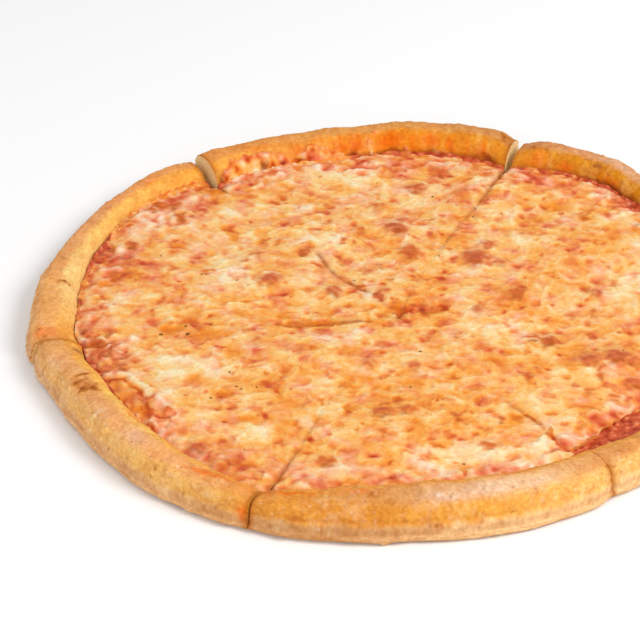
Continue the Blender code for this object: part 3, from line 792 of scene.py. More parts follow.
def cheese_fields(x, y, to_edge):
    """Numbers from 0 to 1 for each point, by name. to_edge is how far the outer edge is, in mm.

    Cover is the thickness, pink and amber are tints, toast and purple are browning, the crescent
    on the -y side of each blister is painted shade, and pit, fold, lump, margin, blister and
    strands also shape the surface.
    """
    bent_x = x + 1.9 * cloud(x, y, 7, 11)
    bent_y = y + 1.9 * cloud(x, y, 7, 12)
    margin = smooth_step(16, 3, to_edge + 5 * soft_noise(x, y, 13, 13))
    margin = np.maximum(0.7 * margin, patches(bent_x, bent_y, LUMPY_AREAS, 1.5))
    away, large, _ = scattered(bent_x + 0.9 * cloud(x, y, 3, 15), bent_y, 6.2, 62, 0.9)
    lump = smooth_step(1.1, 0, away / (2.4 + 2.2 * large)) * (0.6 + 0.4 * large)
    cream = patches(bent_x, bent_y, CREAM_POOLS)
    orange = patches(bent_x, bent_y, ORANGE_AREAS)
    ochre = patches(bent_x, bent_y, OCHRE_SPOTS, 1.3)
    rosy = patches(bent_x, bent_y, ROSY_AREAS)
    fold = trails(bent_x, bent_y, FOLDS)
    red_line = trails(bent_x, bent_y, RED_LINES)
    pit = np.clip(patches(bent_x, bent_y, SAUCE_PITS, 1.5) + 0.25 * soft_noise(x, y, 3, 14), 0, 1)
    pit = pit * smooth_step(0.2, 0.6, pit)
    strands = (1 - np.abs(soft_noise(bent_x, bent_y * 1.2, 9, 25))) ** 6
    shreds = (1 - np.abs(soft_noise(0.8 * bent_x, 1.3 * bent_y, 8, 33))) ** 9
    shreds = shreds * smooth_step(-0.1, 0.5, soft_noise(x, y, 9, 34))
    away, large, warm = scattered(bent_x, bent_y, 6.5, 31, 0.8)
    dot = smooth_step(1, 0.2, away / (1.0 + 1.8 * large)) * (0.3 + 0.7 * warm)
    dot = dot * (0.45 + 0.75 * orange) * (1 - 0.5 * cream)
    away, large, warm = scattered(bent_x + 40, bent_y, 8.5, 32, 0.75)
    thin = smooth_step(1, 0.1, away / (1.6 + 2.6 * large)) * (0.3 + 0.7 * warm)
    cover = (0.675 + 0.10 * soft_noise(x, y, 42, 20) + 0.15 * soft_noise(bent_x, bent_y, 21, 21)
             + 0.17 * soft_noise(bent_x, bent_y, 11, 22)
             + 0.15 * soft_noise(0.9 * bent_x + 0.25 * bent_y, 1.15 * bent_y, 5.5, 23)
             + 0.10 * soft_noise(x, y, 2.4, 24) + 0.12 * (strands - 0.3) * (1 - margin)
             + 0.20 * cream - 0.11 * orange - 0.04 * margin - 0.18 * ochre - 0.22 * dot
             - 0.38 * thin * (1 - 0.6 * cream) - 0.16 * shreds
             + margin * (0.34 * (lump - 0.35) + 0.34 * soft_noise(x, y, 4.0, 26))
             + 0.30 * fold - 0.5 * red_line)
    pink = np.clip(0.20 + 0.9 * cloud(x, y, 9, 27) + 0.5 * rosy + 0.2 * margin + 0.45 * thin
                   + 0.7 * shreds - 0.45 * orange - 0.2 * cream, 0, 1)
    amber = np.clip(0.75 * ochre + 0.55 * dot * (1 - 0.7 * rosy)
                    + 0.5 * orange * smooth_step(0.0, 0.5, cloud(x, y, 9, 42)), 0, 1)
    mauve = patches(bent_x, bent_y, PURPLE_BLISTERS)
    red = patches(bent_x, bent_y, RED_BLISTERS)
    away, large, warm = scattered(bent_x, bent_y, 10, 51, 0.6)
    small = smooth_step(1, 0.1, away / (1.2 + 2.0 * large)) * (0.1 + 0.45 * warm)
    blister = np.maximum(mauve, red)
    toast = np.maximum(blister, small)
    ring = np.exp(-((toast - 1) / 0.2) ** 2)
    toast = np.clip(toast * (1.0 + 0.5 * soft_noise(x, y, 2.6, 52) - 0.15 * ring), 0, 1)
    # Painted shade: the blisters shifted 2.2 mm towards -y, less the blisters themselves, leave a
    # dark crescent on their near side
    nearer = patches(bent_x, bent_y + 2.2, PURPLE_BLISTERS + RED_BLISTERS)
    blister_shade = np.clip(nearer - 0.75 * blister - 0.1, 0, 1) * (0.9 + 0.6 * soft_noise(x, y, 3, 54))
    purple = np.clip((mauve - red) * 1.5 + 0.2 + 0.4 * cloud(x, y, 9, 53), 0, 1)
    return {"cover": np.clip(cover, 0, 1), "pink": pink, "amber": amber, "toast": toast,
            "purple": purple, "pit": pit, "fold": fold, "lump": margin * lump, "margin": margin,
            "blister": blister, "strands": strands, "blister_shade": blister_shade}


# %% [markdown]
# ## From numbers to colours
#
# Where the cheese lies thick it is ivory. Where it is thin the sauce shines through, and turns it
# apricot, then orange. Fat stains it amber, bubbles brown it, and where there is hardly any
# cheese the red of the sauce is left.

# %% Cheese paint
PLAIN_CHEESE = ((0.0, "BC3E12"), (0.14, "CE5818"), (0.26, "E07422"), (0.38, "F09034"),
                (0.50, "F9A64A"), (0.62, "FCBA64"), (0.75, "FECC82"), (0.88, "FEDEA2"),
                (1.0, "FCEABC"))
ROSY_CHEESE = ((0.0, "B43216"), (0.18, "CC4A26"), (0.34, "DE6640"), (0.50, "EE865C"),
               (0.64, "F8A47E"), (0.80, "FCC4A0"), (1.0, "FEE2C8"))
BROWNED = ((0.0, "F29A4A"), (0.35, "E4803A"), (0.7, "D66A2C"), (1.0, "C65A22"))
MAUVE_BROWNED = ((0.0, "F09C5C"), (0.35, "E27E48"), (0.7, "D26838"), (1.0, "C25A30"))
WET_RED = ((0.0, "A4300C"), (0.5, "D24C1C"), (1.0, "F07C3C"))


def cheese_paint(x, y, fields, cut_shade):
    """The colour and the wetness of each point. The last argument is how much painted shade of a
    crack lies there.
    """
    cover = fields["cover"]
    colour = fade(ramp(cover, PLAIN_CHEESE), ramp(cover, ROSY_CHEESE), fields["pink"])
    colour = fade(colour, "F6921C", 0.8 * fields["amber"])
    toast = fields["toast"]
    brown = fade(ramp(toast, BROWNED), ramp(toast, MAUVE_BROWNED), fields["purple"])
    colour = fade(colour, brown, smooth_step(0.0, 0.6, toast))
    # Painted shade, dark orange-brown, on the -y side of each blister
    colour = fade(colour, "B4540C", 0.8 * smooth_step(0.05, 0.5, fields["blister_shade"]))
    red = ramp(0.5 + soft_noise(x, y, 2.8, 28) + 0.5 * soft_noise(x, y, 6, 29), WET_RED)
    colour = fade(colour, red, 0.9 * fields["pit"])
    # Painted shade: a dark orange-brown line along the cracks of the cuts and where they cross
    colour = fade(colour, "B4540E", 0.9 * cut_shade)
    wet = 0.35 + 0.5 * fields["amber"] + 0.5 * fields["pit"] + 0.3 * cloud(x, y, 5, 43)
    return colour, wet


# %% [markdown]
# ## How high the cheese stands
#
# The surface swells slowly, as the dough under it does, and carries the same bubbles as the plain
# solid. On top of that, thick cheese and strands stand a little higher than thin, blisters are
# proud, and along the rim the cheese is lumpy. It thins out to its ragged edge, and dips into the
# cracks.

# %% Cheese height
# The swell's waves: radians for each mm along x and along y, and the phase
SWELL_WAVES = (
    (0.071, 0.043, 0.4), (-0.052, 0.084, 1.9), (0.109, -0.061, 3.1), (0.017, 0.131, 5.2))


def cheese_height(x, y, fields, to_edge, from_cuts, cracks):
    """Height of the cheese's top in mm. from_cuts and cracks have one array for each cut."""
    height = np.full(np.shape(x), CHEESE_TOP)
    for along_x, along_y, phase in SWELL_WAVES:
        height += SWELL * 0.5 * np.sin(along_x * x + along_y * y + phase)
    for centre_x, centre_y, radius, rise in BUBBLES:
        height += rise * np.exp(-((x - centre_x) ** 2 + (y - centre_y) ** 2) / radius ** 2)
    height += 0.9 * (fields["cover"] - 0.6) + 0.4 * fields["blister"] + 0.3 * fields["strands"]
    height += 0.16 * cloud(x, y, 3.2, 61) + 0.9 * fields["fold"] - 0.9 * fields["pit"]
    height += 0.9 * fields["lump"] + fields["margin"] * (0.8 * cloud(x, y, 5, 63) - 0.3)
    height -= CHEESE_LIP * smooth_step(6, 0, to_edge)
    for from_cut, shows in zip(from_cuts, cracks):
        height -= shows * 0.6 * np.exp(-(from_cut / 1.1) ** 1.5)
        height -= shows * 0.3 * np.exp(-from_cut / 2.5)
    return height


# %% [markdown]
# ## The six cheese pieces
#
# Each is a slab with a grid of about 0.6 mm, the size of one pixel of a close view. The top
# follows the height, the underside is level, and the edge wanders in and out by a millimetre, or
# by two where a strip of sauce is bare. It laps over the rim's foot in places, and rests on the
# slope there. Along two cuts the slice behind stands a little proud of the one in front.

# %% Cheese pieces
CHEESE_ROWS = 250         # across a slice, from cut to cut
CHEESE_COLUMNS = 240      # from the tip out to the edge
CHEESE_WALL = (0.2, 0.5, 0.8)
WANDER = 0.3              # mm that the edge strays in long waves
RAGGED = 0.35             # mm that it strays in short ones
TONGUES = 0.17            # share of the bare strip that tongues of cheese reach over
LAP = -0.7                # where the cheese laps over the rim's foot, it does so by up to this
# The pieces that stand proud along a cut: which of their two cuts, and by how many mm
LEDGES = {"left_back": (1, 0.7), "right_back": (0, 0.25)}


def cheese_edge(name, share):
    """Radius of the cheese's ragged edge across a slice, just inside the rim's foot."""
    outer, _, width = rim_sizes(name, share)
    rng = np.random.default_rng(SEED * 10 + list(SLICES).index(name))
    wander = ripple(rng, share, (1, 3, 4, 7), WANDER)
    bare = along(SLICES[name]["bare"], share)
    along_edge = share * EDGE_LENGTH
    ragged = RAGGED * soft_noise(along_edge, share * 0 + 3.3, 3.0, 71)
    tongues = TONGUES * np.maximum(bare, 0) * soft_noise(along_edge, share * 0 + 5.7, 9.0, 74)
    return outer - width - np.maximum(bare + wander + ragged + tongues, LAP)


def make_cheese_piece(name):
    """Work out one slice's cheese and build it."""
    share = np.linspace(0, 1, CHEESE_ROWS)[:, None]
    edge = cheese_edge(name, share[:, 0])[:, None]
    out = np.linspace(0, 1, CHEESE_COLUMNS)[None, :]
    radius = TIP_RADIUS + (edge - TIP_RADIUS) * out
    share = share + 0 * radius
    angle, from_first, from_second = directions(name, share, radius)
    x = radius * np.cos(angle)
    y = radius * np.sin(angle)
    to_edge = edge - radius
    fields = cheese_fields(x, y, to_edge)
    cracks = [crack(cut, radius) for cut in SLICES[name]["cuts"]]
    from_cuts = (from_first, from_second)
    z = cheese_height(x, y, fields, to_edge, from_cuts, cracks)
    if name in LEDGES:
        side, proud = LEDGES[name]
        z += proud * np.exp(-from_cuts[side] / 4.0) * smooth_step(5, 15, radius) * cracks[side]
    outer, crest, width = (size[:, None] for size in rim_sizes(name, share[:, 0]))
    past_foot = radius - (outer - width)
    lapped = inner_wall(past_foot + 0.1, crest, width) + 0.35 + 0.3 * soft_noise(x, y, 3, 73)
    z = np.where(past_foot > -0.4, np.maximum(z, lapped), z)
    sunk = inner_wall(past_foot, crest, width) - 0.15
    z = z + (np.minimum(z, sunk) - z) * smooth_step(0.5, 0.0, to_edge) * (past_foot > 0)
    # Painted shade along each cut as far as it cracks, and round the crossing of the cuts
    cut_shade = np.zeros_like(z)
    for from_cut, shows in zip(from_cuts, cracks):
        uneven = np.clip(0.75 + soft_noise(radius, 0 * radius, 5, 72), 0, 1)
        cut_shade = np.maximum(cut_shade, shows * uneven * np.exp(-(from_cut / 1.2) ** 2))
    cut_shade = np.maximum(cut_shade, 0.5 * np.exp(-((radius - 1) / 2.0) ** 2))
    colour, wet = cheese_paint(x, y, fields, cut_shade)
    top = np.stack((x, y, z), axis=-1)
    low_radius = np.minimum(radius, outer - width - 0.15)
    under = np.stack((low_radius * np.cos(angle), low_radius * np.sin(angle),
                      0 * z + CHEESE_BOTTOM), axis=-1)
    mesh = slab(f"mozzarella_{name}", top, under, CHEESE_WALL, (colour, "E8A050", None), wet,
                flat=True)
    serve(mesh, cheese_material, "cheese", f"cheese_{name}")


for name in SLICES:
    make_cheese_piece(name)

# %% [markdown]
# ## The rim's own places
#
# The rim is baked darkest where the heat reached it, oily where fat ran down its inner slope, and
# dusty where flour stayed on. A place on it is a direction in degrees and a turn: 0 at the foot
# of the inner slope, 1 on the crest, 2 at the foot of the outer wall. Colours that change slowly
# round the rim are rows of (direction, colour) for each of its four bands; single marks are
# direction, turn, length and height in mm, tilt and strength.

# %% Places on the rim
# The tones are partly the dough's own colour and partly painted light and shade: inner slopes that
# face front-left are painted darker and those that face right lighter, and on the front slice the
# outer wall and its foot are painted darker on the left and lighter on the right.
INNER_TONES = (
    (8, "E2942C"), (45, "D88612"), (64, "E08E26"), (90, "F09424"), (112, "F09E46"),
    (127, "FAAA40"), (150, "FCC266"), (172, "FFD890"), (188, "F6A640"), (215, "FEC668"),
    (246, "F49A38"), (300, "F2A44A"), (369, "E29A3C"))
CREST_TONES = (
    (8, "E2A062"), (50, "E6A470"), (67, "D88E54"), (90, "E8A054"), (124, "EE9C50"),
    (150, "EDA266"), (182, "F4AE66"), (204, "EEAA6C"), (230, "F8B070"), (252, "E8983E"),
    (266, "DC9654"), (290, "F8C28C"), (306, "E29A54"), (369, "E2A062"))
WALL_TONES = (
    (8, "E8AA68"), (120, "E0A05A"), (170, "EAA868"), (204, "F2B870"), (232, "F0B664"),
    (250, "E2943A"), (264, "DE9036"), (284, "ECA444"), (300, "F5B968"), (369, "E8AA68"))
FOOT_TONES = (
    (8, "EAB27C"), (90, "D8A26C"), (150, "F0BE8C"), (200, "EAB684"), (235, "E6B078"),
    (257, "CC9058"), (282, "F4C28A"), (330, "F6C88C"), (369, "EAB27C"))
# How dark and how high in turns the sauce line is at the foot of the inner slope
TOE_LINE = ((8, 0.5), (36, 0.9), (46, 1.0), (58, 0.9), (62, 0.4), (68, 0.8), (80, 0.9), (93, 0.8),
            (97, 1.0), (99, 0.3), (101, 0.0), (123, 0.0), (125, 0.8), (126, 1.0),
            (128, 0.1), (150, 0.1), (154, 1.0), (163, 0.9), (166, 0.4), (180, 0.5), (186, 0.9),
            (204, 1.0), (207, 0.2), (218, 0.4), (221, 1.0), (224, 0.3), (246, 0.5), (369, 0.5))
OILY_MARKS = (
    (99.5, 0.45, 9, 9, 0, 0.8), (96.8, 0.45, 9, 11, 0, 1.0), (90.4, 0.48, 15, 9, 0, 1.0),
    (86.0, 0.40, 5, 8, 0, 0.7), (82.7, 0.50, 9, 7, 0, 0.9), (79.0, 0.42, 4, 7, 0, 0.8),
    (75.5, 0.40, 3, 8, 0, 0.5), (72.6, 0.38, 6, 8, 0, 0.8), (62.0, 0.45, 8, 9, 0, 0.6),
    (57.0, 0.30, 8, 5, 0, 0.7), (48.0, 0.35, 14, 6, 0, 0.6), (108.0, 0.55, 8, 6, 0, 0.6),
    (104.0, 0.75, 8, 3, 0, 0.4), (115.0, 0.85, 16, 4, 0, 0.4), (245.0, 1.80, 5, 9, 0, 0.9),
    (216.0, 0.60, 12, 4, 0, 0.8), (226.0, 0.55, 26, 2, 0, 0.6), (238.0, 0.95, 26, 2, -8, 0.9),
    (187.0, 1.20, 8, 12, 0, 0.6), (137.0, 0.90, 8, 5, 0, 0.4), (250.0, 0.95, 30, 2, 0, 0.8),
    (262.0, 0.98, 16, 2, 0, 0.5), (212.0, 0.30, 14, 6, 0, 0.7),
)
BROWN_MARKS = (
    (204.0, 1.04, 13, 8, 15, 0.5), (203.6, 1.13, 4, 5, 0, 0.9), (205.5, 1.01, 4, 9, -20, 1.0),
    (202.0, 0.94, 2, 6, 0, 0.9), (206.3, 0.90, 4, 4, 0, 0.8), (172.2, 0.76, 4, 8, 0, 0.6),
    (183.2, 1.56, 2, 2, 0, 0.8), (51.3, 0.65, 6, 4, 0, 1.0), (54.0, 0.80, 3, 2, 0, 0.7),
    (45.2, 0.55, 4, 3, 0, 0.6), (253.6, 1.72, 9, 6, 0, 0.4), (256.6, 1.45, 7, 4, 0, 0.3),
    (264.6, 1.05, 10, 4, 0, 0.5), (267.0, 1.22, 9, 4, 0, 0.45), (270.0, 1.35, 6, 3, 0, 0.3),
    (274.7, 1.90, 10, 2, 0, 0.55), (229.3, 1.52, 4, 2, 60, 0.6), (69.4, 1.05, 8, 5, 0, 0.7),
    (68.0, 0.90, 4, 5, 0, 0.5), (63.6, 0.85, 6, 5, 0, 0.7), (61.0, 0.75, 6, 2, 30, 0.6),
    (287.0, 1.30, 5, 2, 0, 0.3), (214.0, 1.04, 5, 6, 0, 0.3), (281.0, 1.88, 8, 2, 0, 0.4),
    (249.0, 1.35, 10, 3, 0, 0.3), (260.0, 1.65, 12, 3, 0, 0.3),
)
# Melted cheese that climbed the inner slope: how high in turns, and a strand that hangs there
MELT_LINE = ((8, 0.0), (60, 0.0), (62, 0.1), (66, 0.1), (67, 0.0), (98, 0.0), (99.5, 0.3),
             (101.5, 0.32), (103, 0.5), (106, 0.62), (107.5, 0.35), (110.5, 0.36), (112, 0.52),
             (114.5, 0.62), (119.5, 0.64), (122.0, 0.58), (124.5, 0.30), (126.0, 0.0),
             (127, 0.2), (133, 0.25), (140, 0.2), (150, 0.12), (153, 0.0), (165, 0.0),
             (169, 0.15), (178, 0.12), (182, 0.0), (207, 0.0), (209, 0.2), (216, 0.15),
             (219, 0.0), (226, 0.1), (240, 0.1), (246, 0.0), (369, 0.0))
MELTED_MARKS = (
    (94.2, 0.50, 2.6, 12, -12, 1.0), (92.8, 0.85, 4, 3, 0, 0.7), (87.5, 0.22, 3, 4, 0, 0.5),
    (96.0, 0.20, 4, 4, 0, 0.4), (80.5, 0.15, 8, 3, 0, 0.5),
)
DARK_MARKS = (
    (115.3, 0.28, 5, 4, 0, 1.0), (111.3, 0.20, 4, 2, 0, 1.0), (108.0, 0.24, 6, 2, 0, 0.8),
    (97.4, 0.16, 5, 5, 0, 1.0), (124.6, 0.20, 4, 8, 0, 0.8), (90.0, 0.16, 12, 3, 0, 0.7),
    (71.5, 0.22, 10, 4, 0, 0.9), (46.5, 0.20, 16, 4, 0, 1.0), (42.0, 0.20, 10, 5, 0, 0.8),
    (193.0, 0.50, 4, 7, 0, 0.8), (82.5, 0.18, 5, 3, 0, 0.6),
)
FLOUR_MARKS = (
    (275.0, 1.14, 4, 2, 0, 1.0), (276.5, 1.20, 16, 5, 0, 0.6), (283.0, 1.10, 30, 5, 0, 0.55),
    (292.0, 1.15, 16, 4, 0, 0.4), (213.0, 1.30, 3, 6, 0, 0.3), (222.0, 1.10, 14, 6, 0, 0.4),
    (48.0, 1.05, 20, 4, 0, 0.4), (196.0, 1.30, 10, 6, 0, 0.3),
)
print(len(OILY_MARKS) + len(BROWN_MARKS) + len(MELTED_MARKS), "marks on the rim")

# %% [markdown]
# ## The sauce
#
# Under the cheese the sauce stays hidden, so its rings are wide apart there. From the cheese's
# edge outwards they are fine: the pulp is lumpy, its lumps are lighter than its wet pits, and it
# climbs a little up the rim's inner wall, as it did when it bubbled in the oven.

# %% Sauce pieces
PULP = ((0.0, "A83414"), (0.4, "CE5A30"), (0.7, "DE7048"), (1.0, "F09A6C"))
OILY_GOLD = ((0.0, "C8701C"), (0.5, "F0983A"), (1.0, "FCC070"))
SAUCE_ROWS = 220


def make_sauce_piece(name):
    """Work out one slice's sauce and build it."""
    share = np.linspace(0, 1, SAUCE_ROWS)[:, None]
    outer, crest, width = (size[:, None] for size in rim_sizes(name, share[:, 0]))
    foot = outer - width
    along_edge = share * EDGE_LENGTH
    climb = 0.25 + 0.2 * soft_noise(along_edge, 0 * share + list(SLICES).index(name), 5, 81)
    reach = foot + np.clip(climb, 0.1, 0.5)
    far = np.concatenate((np.linspace(TIP_RADIUS, 90, 10), np.linspace(96, 108, 5)))
    near = np.linspace(0, 1, 46)[None, 1:]
    radius = np.hstack((far + 0 * reach, 108 + (reach - 108) * near))
    share = share + 0 * radius
    angle, _, _ = directions(name, share, radius)
    x = radius * np.cos(angle)
    y = radius * np.sin(angle)
    away, large, _ = scattered(x, y, 3.4, 82, 0.9)
    lump = smooth_step(1, 0, away / (1.2 + large))
    z = SAUCE_TOP + 0.7 * lump + 0.5 * cloud(x, y, 6, 83) + 0.9 * smooth_step(-9, 0, radius - foot)
    z += 1.0 * smooth_step(-1.6, 0.0, radius - foot)
    z = np.maximum(z, inner_wall(radius - foot + 0.12, crest, width) * (radius > foot - 0.5))
    z = np.maximum(np.where(radius < 100, SAUCE_TOP, z), SAUCE_TOP)
    bare_red = np.interp(rim_degrees(angle), *zip(*TOE_LINE)) + 0.5 * soft_noise(x, y, 5, 85)
    bare_red = np.maximum(bare_red, smooth_step(-2.0, -3.5, radius - foot))
    colour = ramp(0.3 + 0.5 * lump + 0.7 * cloud(x, y, 3, 84), PULP)
    golden = ramp(0.5 + 0.5 * lump + 0.35 * cloud(x, y, 4, 86), OILY_GOLD)
    colour = fade(golden, colour, smooth_step(0.2, 0.8, bare_red))
    top = np.stack((x, y, z), axis=-1)
    low_radius = np.minimum(radius, foot - 0.3)
    under = np.stack((low_radius * np.cos(angle), low_radius * np.sin(angle),
                      0 * z + SAUCE_BOTTOM), axis=-1)
    mesh = slab(f"tomato_{name}", top, under, (0.5,), (colour, "C05A20", None), 0 * z, flat=True)
    serve(mesh, sauce_material, "sauce", f"sauce_{name}")


for name in SLICES:
    make_sauce_piece(name)

# %% [markdown]
# ## The crust
#
# Its section starts at the tip as flat dough, turns up into the rim's inner slope, goes over the
# crest and down the outer wall to a thin proud skirt, and curls back under. Points are spread
# evenly along that line. The relief is added at right angles to the surface: slow lumps, small
# dents, burst bubbles, the climbed cheese, and on the outer wall the fine upright folds of a
# pinched edge.

# %% Crust pieces
CRUST_ROWS = 240
RIM_COLUMNS = 96
FLAT_RINGS = np.concatenate(([TIP_RADIUS, 15.0, 35.0], np.arange(55, 109, 5.0)))
RIM_RADIUS = 148.0        # directions times this give millimetres along the rim
TURN_LENGTH = 15.0        # one turn is about this many millimetres of the rim's section
TYPICAL_RIM = (150.0, 16.0, 21.0)   # reach, crest height and width
DRIP_DIRECTION = 266.5    # where a drip of dough hangs at the foot, in degrees
DRIP_HALF_WIDTH = 2.0
LINE_FROM = 0.1           # the turn from which the painted shade along a cut shows
SEALED_CUT = 303.0        # direction of a cut that baked shut over the crest
SEALED_REACH = 8          # degrees to either side of it
SEALED_FROM = 1.1         # the turn from which its line shows
# Where the cuts gape the pale crumb shows, painted lighter against the shade in the gap; where they
# closed again the faces are painted orange for the warm light bouncing in the narrow cut
CUT_FACES = {"right_back": "FADAA2", "back": "FADAA2", "left_back": "F4C482",
             "left_front": "E8A448", "front": "E8A448", "right_front": "E8A448"}
CRUST_WALL = (0.03, 0.10, 0.2, 0.32, 0.44, 0.56, 0.68, 0.8, 0.92)
BURNT_BROWN = ((0.0, "DA8E44"), (0.5, "C4742E"), (1.0, "96541F"))
BAKED_UNDERSIDE = ((0.0, "EBC48C"), (0.5, "D8A262"), (0.85, "A96C38"), (1.0, "85502A"))


def rim_line(outer, crest, width, turn):
    """Radius and height on the rim, from its foot at turn 0, over the crest at 1, to 2."""
    crest_radius = outer - CREST_SHARE * width
    up = np.clip(turn, 0, 1) * np.pi / 2
    down = np.clip(2 - turn, 0, 1) * np.pi / 2
    inner_radius = crest_radius - (1 - CREST_SHARE) * width * np.cos(up) ** (2 / INNER_POWER)
    inner_height = DOUGH_TOP + (crest - DOUGH_TOP) * np.sin(up) ** (2 / INNER_POWER)
    wall = outer - SKIRT_PROUD
    outer_radius = crest_radius + (wall - crest_radius) * np.cos(down) ** (2 / OUTER_POWER)
    outer_height = SKIRT_HIGH + (crest - SKIRT_HIGH) * np.sin(down) ** (2 / OUTER_POWER)
    inner = turn <= 1
    return np.where(inner, inner_radius, outer_radius), np.where(inner, inner_height, outer_height)


def even_turns(count):
    """Turns that spread count points evenly along a typical rim."""
    turn = 2 * np.linspace(0, 1, 4000)
    radius, height = rim_line(*TYPICAL_RIM, turn)
    length = np.concatenate(([0], np.cumsum(np.hypot(np.diff(radius), np.diff(height)))))
    return np.interp(np.linspace(0, length[-1], count), length, turn)


RIM_TURNS = even_turns(RIM_COLUMNS)
SKIRT_STEPS = np.linspace(0, 1, 11)[1:]


def on_rim(around, turn, rows, power=1.0):
    """Patches whose rows give a direction in degrees and a turn in place of x and y."""
    placed = [(np.radians(row[0]) * RIM_RADIUS, row[1] * TURN_LENGTH, *row[2:]) for row in rows]
    return patches(around, turn * TURN_LENGTH, placed, power)


def crust_paint(around, turn, from_cuts):
    """Colour and wetness of the crust, and how far melted cheese and burns raise it."""
    degrees = rim_degrees(around / RIM_RADIUS)
    height = turn * TURN_LENGTH
    bent_around = around + 1.2 * cloud(around, height, 5, 107)
    bent_turn = turn + 0.08 * cloud(around, height, 5, 108)
    # The four bands' tones round the rim, which carry painted light and shade with the dough's colour
    colour = ramp(degrees, WALL_TONES)
    colour = fade(colour, ramp(degrees, CREST_TONES),
                  smooth_step(1.5, 1.12, turn + 0.15 * cloud(around, height, 10, 101)))
    colour = fade(colour, ramp(degrees, INNER_TONES),
                  smooth_step(0.98, 0.70, turn + 0.10 * cloud(around, height, 9, 102)))
    colour = fade(colour, ramp(degrees, FOOT_TONES),
                  smooth_step(1.82, 1.95, turn + 0.06 * cloud(around, height, 6, 103)))
    # Painted shade: a darker, uneven line in the crease just above the skirt
    uneven = 0.45 + 1.2 * soft_noise(around, 0 * around, 14, 127)
    crease_shade = np.exp(-((turn - 1.97 - 0.05 * soft_noise(around, 0 * around, 5, 128)) / 0.05) ** 2)
    colour = fade(colour, "B87A3E", 0.5 * np.clip(crease_shade * uneven, 0, 1))
    outside = smooth_step(0.8, 1.1, turn)
    brownish = 0.6 * cloud(around, height, 12, 104) + 0.5 * cloud(around, height, 3.2, 105)
    brownish = np.clip(brownish, 0, 1)
    colour = fade(colour, "CC7C34", 0.38 * brownish * (0.4 + 0.6 * outside))
    pale = 0.6 * cloud(around, height, 14, 106) + 0.4 * soft_noise(around, height, 2.6, 109)
    colour = fade(colour, "F8CFA8", 0.5 * np.clip(pale, 0, 1) * outside)
    streak = np.clip(soft_noise(bent_around, 0.25 * height, 3.0, 110), 0, 1) * (1 - outside)
    colour = fade(colour, "F7BE68", 0.6 * streak)
    oily = on_rim(bent_around, bent_turn, OILY_MARKS, 1.3)
    colour = fade(colour, "EE6C00", 0.9 * oily)
    flour = on_rim(bent_around, bent_turn, FLOUR_MARKS)
    colour = fade(colour, "F5DCCB", 0.75 * flour)
    away, large, _ = scattered(around, height, 5.0, 111, 0.3)
    pale_speck = smooth_step(1, 0.4, away / (0.5 + 0.5 * large))
    colour = fade(colour, "F8DCC0", 0.35 * pale_speck * outside)
    away, large, _ = scattered(around, height, 7.0, 112, 0.35)
    dark_speck = smooth_step(1, 0.3, away / (0.5 + 0.8 * large))
    colour = fade(colour, "A86432", 0.5 * dark_speck * outside)
    brown = on_rim(bent_around, bent_turn, BROWN_MARKS)
    brown = np.clip(brown * (0.9 + 0.5 * soft_noise(around, height, 1.8, 113)), 0, 1)
    colour = fade(colour, ramp(brown, BURNT_BROWN), smooth_step(0.05, 0.7, brown))
    mottled = (1.03 + 0.20 * soft_noise(around, height, 1.2, 123)
               + 0.13 * soft_noise(around, height, 2.6, 124)
               + 0.16 * soft_noise(around, height, 6.5, 125))
    warmer = np.stack((mottled ** 0.5, mottled, mottled ** 1.3), axis=-1)
    colour = colour * warmer
    climbed = np.interp(degrees, *zip(*MELT_LINE))
    climbed = climbed + 0.07 * soft_noise(around, 0 * around, 3.5, 119)
    above = turn + 0.10 * cloud(around, height, 3.5, 120) - climbed
    melted = np.maximum(smooth_step(0.04, -0.04, above) * (climbed > 0.05),
                        on_rim(bent_around, bent_turn, MELTED_MARKS, 1.5))
    mottle = (0.56 + 0.45 * soft_noise(around, height, 5.0, 114)
              + 0.30 * soft_noise(around, height, 2.4, 115))
    cheesy = fade(ramp(mottle, PLAIN_CHEESE), ramp(mottle, ROSY_CHEESE),
                  0.35 + 1.1 * soft_noise(around, height, 7, 121))
    colour = fade(colour, cheesy, smooth_step(0.15, 0.6, melted))
    edge = np.exp(-((above + 0.02) / 0.06) ** 2) * (climbed > 0.05)
    colour = fade(colour, "E45E1C", 0.75 * edge * (0.6 + 0.8 * soft_noise(around, height, 5, 122)))
    toe = np.interp(degrees, *zip(*TOE_LINE))
    toe = toe * (0.75 + 0.5 * soft_noise(around, 0 * around, 6, 116))
    band = smooth_step(0.30, 0.16, turn + 0.05 * soft_noise(around, 0 * around, 3, 117))
    colour = fade(colour, "B04A10", np.clip(toe, 0, 1) * band)
    dark = on_rim(bent_around, bent_turn, DARK_MARKS, 1.3)
    colour = fade(colour, "8E300A", 0.85 * dark)
    # Painted shade: an orange-brown line along each cut, which starts past the crest near the cut
    # that baked shut
    line_from = np.where(np.abs(degrees - SEALED_CUT) < SEALED_REACH, SEALED_FROM, LINE_FROM)
    for from_cut in from_cuts:
        cut_shade = np.exp(-(from_cut / 1.5) ** 2) * smooth_step(line_from, line_from + 0.3, turn)
        colour = fade(colour, "B8660E", 0.75 * cut_shade)
    wet = (1 - outside) * (0.55 + 0.4 * oily + 0.3 * cloud(around, height, 6, 118)) + 0.3 * dark
    return colour, wet, smooth_step(0.1, 0.6, melted) * (0.25 + 0.5 * mottle), brown


